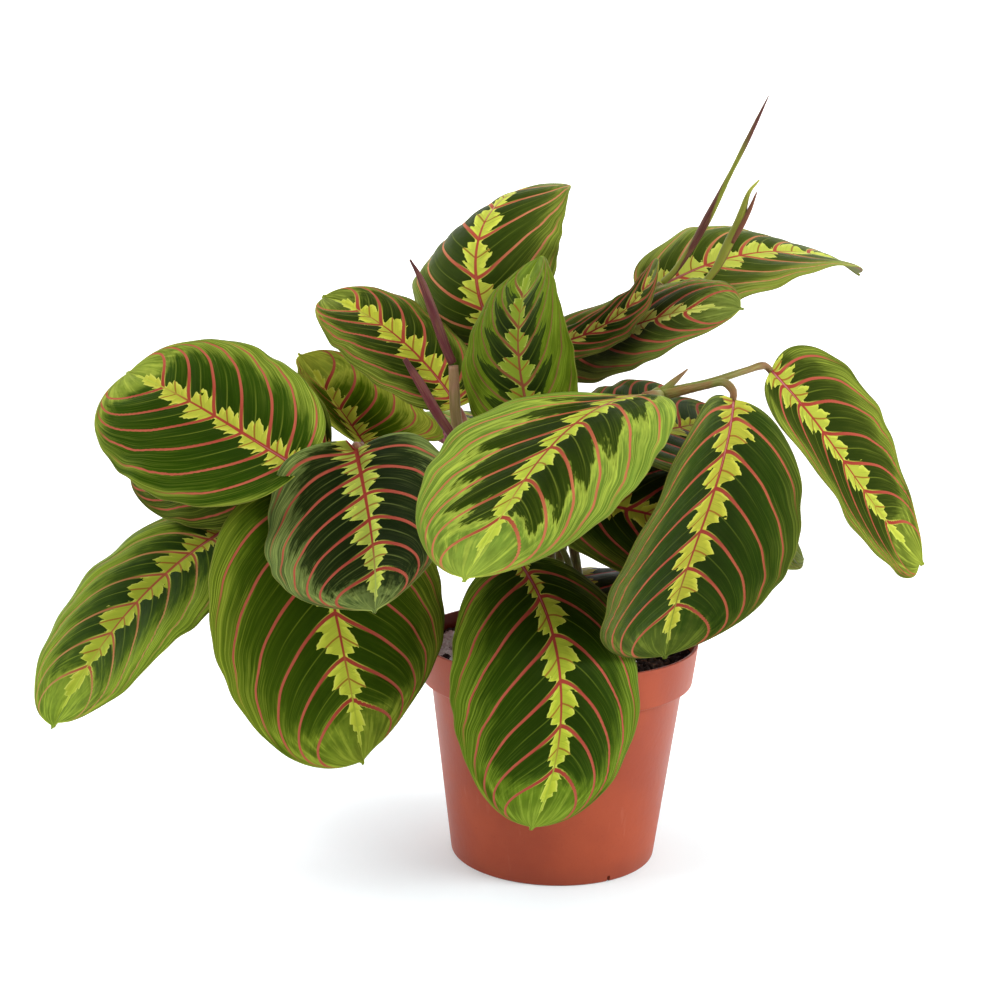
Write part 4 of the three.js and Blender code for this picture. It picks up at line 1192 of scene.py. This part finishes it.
def addTubes(name, parts, material):
    points, faces, place = joined(parts)
    piece = makePiece(name + "_stems", np.array(points) * mm, faces, name, [material])
    vectorAttribute(piece.data, "stem_place", place)


def makeShoots():
    step, sides = stemShape["step"], stemShape["sides"]
    for name, shoot in shootPieces.items():
        parts = [unjointed(tubeAlong(stemPoints(shoot["stem"]), shoot["radii"], step, sides, stemProfile))]
        for leafName, path in shoot["stalks"].items():
            route = [*path, *stalkEnd(leafPieces[leafName])]
            parts.append(tubeAlong(route, stemShape["stalkRadii"], step, sides, stalkProfile))
        for path, radii in shoot.get("branches", ()):
            branch = tubeAlong(path, radii, step, sides)
            # a pointed sheath reddens at its end
            parts.append(branch if radii[-1] < stemShape["pointed"] else unjointed(branch))
        addTubes(name, parts, greenMaterial(name, shoot))
    for name, stalk in soilStalkPieces.items():
        route = [*stemPoints(stalk["stem"]), *stalkEnd(leafPieces[stalk["blade"]])]
        parts = [tubeAlong(route, (*stalk["radii"], stemShape["stalkRadii"][-1]), step, sides, stalkProfile)]
        addTubes(name, parts, greenMaterial(name, stalk))
    print("stems and stalks made:", len(shootPieces) + len(soilStalkPieces))


def makeSpikes():
    step, sides = stemShape["spikeStep"], stemShape["spikeSides"]
    for name, spike in spikePieces.items():
        parts = [tubeAlong(path, radii, step, sides, rolledProfile) for path, radii in spike["tubes"]]
        parts[1:] = [outerSide(part, spike["band"]) for part in parts[1:]]
        addTubes(name, parts, spikeMaterial(name, spike))
    print("rolled leaves made:", len(spikePieces))


# pot

potShape = {
    "height": 95,  # mm
    "rimRadius": 60,
    "bandHeight": 17.3,
    "bandFootRadius": 57.9,
    "bodyTopRadius": 54,
    "baseRadius": 43.9,
    "baseCorner": 1.2,
    "flare": (44.94, 8),  # a point of the side, radius and height
    "wall": 1.4,
    "floorThickness": 2.2,
    "segments": 160,
    "drainSlots": 3,
    "firstSlot": -57,  # degrees
    "slotWidth": 1.4,
    "slotHeight": 3.2,
    "slotDepth": 6,
    "plastic": ("#8c3a22", "#994327"),
    "speck": "#7e3420",
    "scuff": "#b46a52",
    # painted shade: a darker pot colour toward the foot
    "dust": "#6b3527",
}


def roundedCorner(corner, before, after, radius, steps=5):
    # points of a small round between two straight runs of the outline
    corner, before, after = (np.array(p, dtype=float) for p in (corner, before, after))
    toBefore = (before - corner) / np.linalg.norm(before - corner)
    toAfter = (after - corner) / np.linalg.norm(after - corner)
    start, end = corner + toBefore * radius, corner + toAfter * radius
    points = []
    for i in range(steps + 1):
        u = i / steps
        points.append(tuple((1 - u) ** 2 * start + 2 * u * (1 - u) * corner + u * u * end))
    return points


def potOutline():
    pot = potShape
    foot = pot["height"] - pot["bandHeight"]
    wall = pot["wall"]
    # each corner with the size of its round
    corners = [
        ((0, 0), 0),
        ((pot["baseRadius"], 0), pot["baseCorner"]),
        (pot["flare"], 0),
        ((pot["bodyTopRadius"], foot), 0.35),
        ((pot["bandFootRadius"], foot), 1.0),
        ((pot["rimRadius"], pot["height"]), 0.55),
        ((pot["rimRadius"] - wall, pot["height"]), 0.3),
        ((pot["bandFootRadius"] - wall, foot + wall + 0.3), 0.8),
        ((pot["bodyTopRadius"] - wall, foot + 0.3), 0.5),
        ((pot["baseRadius"] - wall, pot["floorThickness"]), 1.0),
        ((0, pot["floorThickness"]), 0),
    ]
    outline = []
    for i, (corner, radius) in enumerate(corners):
        if radius == 0:
            outline.append(corner)
        else:
            outline += roundedCorner(corner, corners[i - 1][0], corners[i + 1][0], radius)
    return outline


def potMaterial():
    material, tree, shader = newMaterial("pot_plastic_terracotta", 0.42, 0.2)
    place = ownPlace(tree)
    x, y, z = parted(place)
    cloud = spread(place, 28, 4, 0.55)
    body = blend(ramp(cloud, 0.35, 0.68), *potShape["plastic"])
    speck = spread(place, 900, 2)
    body = blend(ramp(speck, 0.62, 0.75, 0.0, 0.35), body, potShape["speck"])
    # pale scuffs, and painted shade that darkens the pot toward its foot, where it meets the floor
    scuff = spread(together(x * 260, y * 260, z * 40), 1)
    body = blend(ramp(scuff, 0.64, 0.78, 0.0, 0.2), body, potShape["scuff"])
    body = blend(ramp(z, 0.0, 0.012, 0.45, 0.0) * cloud, body, potShape["dust"])
    feed(shader.inputs["Roughness"], ramp(cloud, 0.3, 0.7, 0.38, 0.5))
    paint(shader, body, speck * 0.3 + spread(place, 350, 2), 0.22, 0.0003)
    return material


def slotCutter(angle):
    width, height, depth = (potShape[key] * mm for key in ("slotWidth", "slotHeight", "slotDepth"))
    bm = bmesh.new()
    bmesh.ops.create_cube(bm, size=1)
    bmesh.ops.scale(bm, vec=(depth, width, 2 * height), verts=bm.verts)
    # the two long edges above the floor are rounded
    ends = [[vert.co for vert in edge.verts] for edge in bm.edges]
    edges = [edge for edge, (a, b) in zip(bm.edges, ends) if abs(a.x - b.x) > 1e-4 and a.z > 0]
    bmesh.ops.bevel(bm, geom=edges, offset=width * 0.45, segments=4, affect="EDGES")
    radius = potShape["baseRadius"] * mm
    spot = Matrix.Translation((radius * math.cos(angle), radius * math.sin(angle), 0))
    bmesh.ops.transform(bm, matrix=spot @ Matrix.Rotation(angle, 4, "Z"), verts=bm.verts)
    mesh = bpy.data.meshes.new("slot_cutter")
    bm.to_mesh(mesh)
    bm.free()
    cutter = bpy.data.objects.new("slot_cutter", mesh)
    scene.collection.objects.link(cutter)
    return cutter


def makePot():
    points, faces = spinOutline(potOutline(), potShape["segments"])
    piece = makePiece("pot_shell", np.array(points) * mm, faces, "pot", [potMaterial()])
    cutters = []
    for i in range(potShape["drainSlots"]):
        cutter = slotCutter(math.radians(potShape["firstSlot"] + 360 / potShape["drainSlots"] * i))
        cutters.append(cutter)
        cut = piece.modifiers.new("slot", "BOOLEAN")
        cut.operation = "DIFFERENCE"
        cut.solver = "EXACT"
        cut.object = cutter
    fixShape(piece)
    for cutter in cutters:
        bpy.data.objects.remove(cutter)
    print("pot made:", len(piece.data.polygons), "faces")


def fixShape(piece):
    # the modifiers' result becomes the piece's own mesh
    graph = bpy.context.evaluated_depsgraph_get()
    mesh = bpy.data.meshes.new_from_object(piece.evaluated_get(graph))
    piece.modifiers.clear()
    piece.data = mesh
    mesh.set_sharp_from_angle(angle=math.radians(35))


# soil and perlite

soilShape = {
    "top": 89,  # mm
    "radius": 57.2,
    "rise": 1.1,
    "rings": 70,
    "segments": 200,
    "crumbs": 900,
    "crumbSize": (0.5, 1.7),
    "crumbReach": 55,
    "fibres": 70,
    "fibreLength": (4, 12),
    "fibreReach": 54,
    "looseReach": 56,
    "peat": ("#17100c", "#3a281c"),
    "crumb": ("#1c130e", "#4a3424"),
    "fibre": ("#3a2618", "#6e5034"),
    "chip": "#6a5138",
}

perliteShape = {
    "centre": (-45, -3),  # mm
    "halfWidth": 8,
    "halfLength": 26,
    "height": 2.2,
    "grains": 620,
    "grainSize": (0.45, 1.35),
    "looseGrains": 60,
    "looseSize": (0.4, 1.0),
    "white": "#f2f1ee",
    "dust": "#9a9084",
    "pore": "#a9a59c",
}


def perliteReach(x, y):
    across = (x - perliteShape["centre"][0]) / (perliteShape["halfWidth"] + 4)
    lengthwise = (y - perliteShape["centre"][1]) / (perliteShape["halfLength"] + 4)
    return math.hypot(across, lengthwise)


def soilHeight(x, y):
    radius = math.hypot(x, y) / potShape["rimRadius"]
    lumps = math.sin(0.31 * x + 1.2) * math.sin(0.27 * y + 0.4) + 0.6 * math.sin(0.53 * (x + y))
    level = min(max(3 * (perliteReach(x, y) - 1), 0), 1)
    edge = min(max(6 * (0.97 - radius), 0), 1)
    rough = noise.fractal(Vector((x * 0.22, y * 0.22, 3)), 0.8, 2.2, 4) * 0.9
    return soilShape["top"] + 0.35 * soilShape["rise"] * lumps * level * edge + rough * (0.3 + 0.7 * edge)


def soilMaterial(name, dark, light):
    material, tree, shader = newMaterial(name, 0.9, 0.25)
    place = ownPlace(tree)
    coarse = spread(place, 260, 4, 0.65)
    fine = spread(place, 1100, 3, 0.6)
    body = blend(ramp(coarse, 0.4, 0.72), dark, light)
    body = blend(ramp(fine, 0.66, 0.74, 0.0, 0.6), body, soilShape["chip"])
    paint(shader, body, coarse + fine * 0.5, 0.9, 0.0012)
    return material


def roundLump():
    bm = bmesh.new()
    bmesh.ops.create_icosphere(bm, subdivisions=2, radius=1)
    points = np.array([v.co[:] for v in bm.verts])
    faces = [tuple(v.index for v in f.verts) for f in bm.faces]
    bm.free()
    return points, faces


def lumps(spots, seed):
    # an irregular lump of the given size at each spot
    ball, ballFaces = roundLump()
    rng = np.random.default_rng(seed)
    points, faces = [], []
    for i, (x, y, z, size) in enumerate(spots):
        axes, _ = np.linalg.qr(rng.normal(size=(3, 3)))
        waves = rng.normal(scale=1.7, size=(3, 3))
        bump = 1 + 0.13 * np.sin(ball @ waves.T + rng.uniform(0, 6.3, 3)).sum(axis=1)
        stretch = rng.uniform(0.7, 1.25, 3)
        points.append((ball * bump[:, None] * stretch) @ axes.T * size + (x, y, z))
        faces += [tuple(k + i * len(ball) for k in face) for face in ballFaces]
    return np.concatenate(points), faces


def looseSpot(rng, reach):
    # a place on the soil, even over its area
    radius = reach * math.sqrt(rng.random())
    angle = rng.uniform(0, fullTurn)
    return radius * math.cos(angle), radius * math.sin(angle)


def makeSoil():
    pot = potShape
    foot = pot["height"] - pot["bandHeight"]
    wall = pot["wall"]
    rings, segments = soilShape["rings"], soilShape["segments"]
    outline = [
        (0, pot["floorThickness"] + 0.3),
        (pot["baseRadius"] - wall - 0.5, pot["floorThickness"] + 0.3),
        (pot["bodyTopRadius"] - wall - 0.3, foot + 0.6),
        (pot["bandFootRadius"] - wall - 0.4, foot + wall + 0.9),
        (soilShape["radius"], soilShape["top"] - 0.4),
    ]
    topStart = 1 + (len(outline) - 1) * segments
    outline += [(soilShape["radius"] * (1 - (i + 1) / rings), soilShape["top"]) for i in range(rings - 1)]
    outline.append((0, soilShape["top"]))
    points, faces = spinOutline(outline, segments)
    points = [(x, y, soilHeight(x, y)) if i >= topStart else (x, y, z) for i, (x, y, z) in enumerate(points)]
    makePiece("soil_bed", np.array(points) * mm, faces, "soil",
              [soilMaterial("peat", *soilShape["peat"])])
    rng = random.Random(21)
    spots = []
    for _ in range(soilShape["crumbs"]):
        x, y = looseSpot(rng, soilShape["crumbReach"])
        size = rng.uniform(*soilShape["crumbSize"]) * (1 if rng.random() < 0.85 else 1.5)
        spots.append((x, y, soilHeight(x, y) + size * 0.25, size))
    points, faces = lumps(spots, 21)
    makePiece("soil_crumbs", points * mm, faces, None,
              [soilMaterial("peat_crumb", *soilShape["crumb"])])
    parts = [fibre for fibre in (makeFibre(rng) for _ in range(soilShape["fibres"])) if fibre]
    points, faces, _ = joined(parts)
    makePiece("soil_fibres", np.array(points) * mm, faces, None,
              [soilMaterial("peat_fibre", *soilShape["fibre"])])
    print("soil made")


def makeFibre(rng):
    x, y = looseSpot(rng, soilShape["fibreReach"])
    heading = rng.uniform(0, fullTurn)
    length = rng.uniform(*soilShape["fibreLength"])
    bend = rng.uniform(-0.8, 0.8)
    path = []
    for k in range(5):
        u = k / 4 - 0.5
        turnNow = heading + bend * u
        px, py = x + math.cos(turnNow) * u * length, y + math.sin(turnNow) * u * length
        if math.hypot(px, py) > soilShape["looseReach"]:
            return None
        path.append((px, py, soilHeight(px, py) + 0.5 + 0.5 * math.sin(k * 1.4)))
    return tubeAlong(path, (0.14, 0.24, 0.12), 1.0, 6)


def perliteMaterial():
    material, tree, shader = newMaterial("perlite_grain", 0.85)
    place = ownPlace(tree)
    pores = spread(place, 1400, 4, 0.7)
    dust = spread(place, 130)
    body = blend(ramp(dust, 0.5, 0.72, 0.0, 0.55), perliteShape["white"], perliteShape["dust"])
    body = blend(ramp(pores, 0.3, 0.5, 0.5, 0.0), body, perliteShape["pore"])
    paint(shader, body, pores, 0.8, 0.0006)
    return material


def makePerlite():
    rng = random.Random(5)
    spots = []
    cx, cy = perliteShape["centre"]
    for _ in range(perliteShape["grains"]):
        share = math.sqrt(rng.random())
        angle = rng.uniform(0, fullTurn)
        x = cx + perliteShape["halfWidth"] * share * math.cos(angle)
        y = cy + perliteShape["halfLength"] * share * math.sin(angle)
        if math.hypot(x, y) > soilShape["looseReach"]:
            continue
        size = rng.uniform(*perliteShape["grainSize"])
        pile = perliteShape["height"] * (1 - share ** 2) * rng.uniform(0.0, 1.0)
        spots.append((x, y, soilShape["top"] + size * 0.4 + pile, size))
    for _ in range(perliteShape["looseGrains"]):
        x, y = looseSpot(rng, soilShape["crumbReach"])
        size = rng.uniform(*perliteShape["looseSize"])
        spots.append((x, y, soilHeight(x, y) + size * 0.4, size))
    points, faces = lumps(spots, 5)
    makePiece("perlite_grains", points * mm, faces, "perlite_patch", [perliteMaterial()])
    print("perlite made")


makeCamera()
makeStudio()
print("camera and studio ready")
makePot()
makeSoil()
makePerlite()
makeLeaves()
makeShoots()
makeSpikes()

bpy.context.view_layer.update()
triangles = sum(len(f.vertices) - 2 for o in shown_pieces() if o.type == "MESH" for f in o.data.polygons)
print("triangles in all:", triangles)
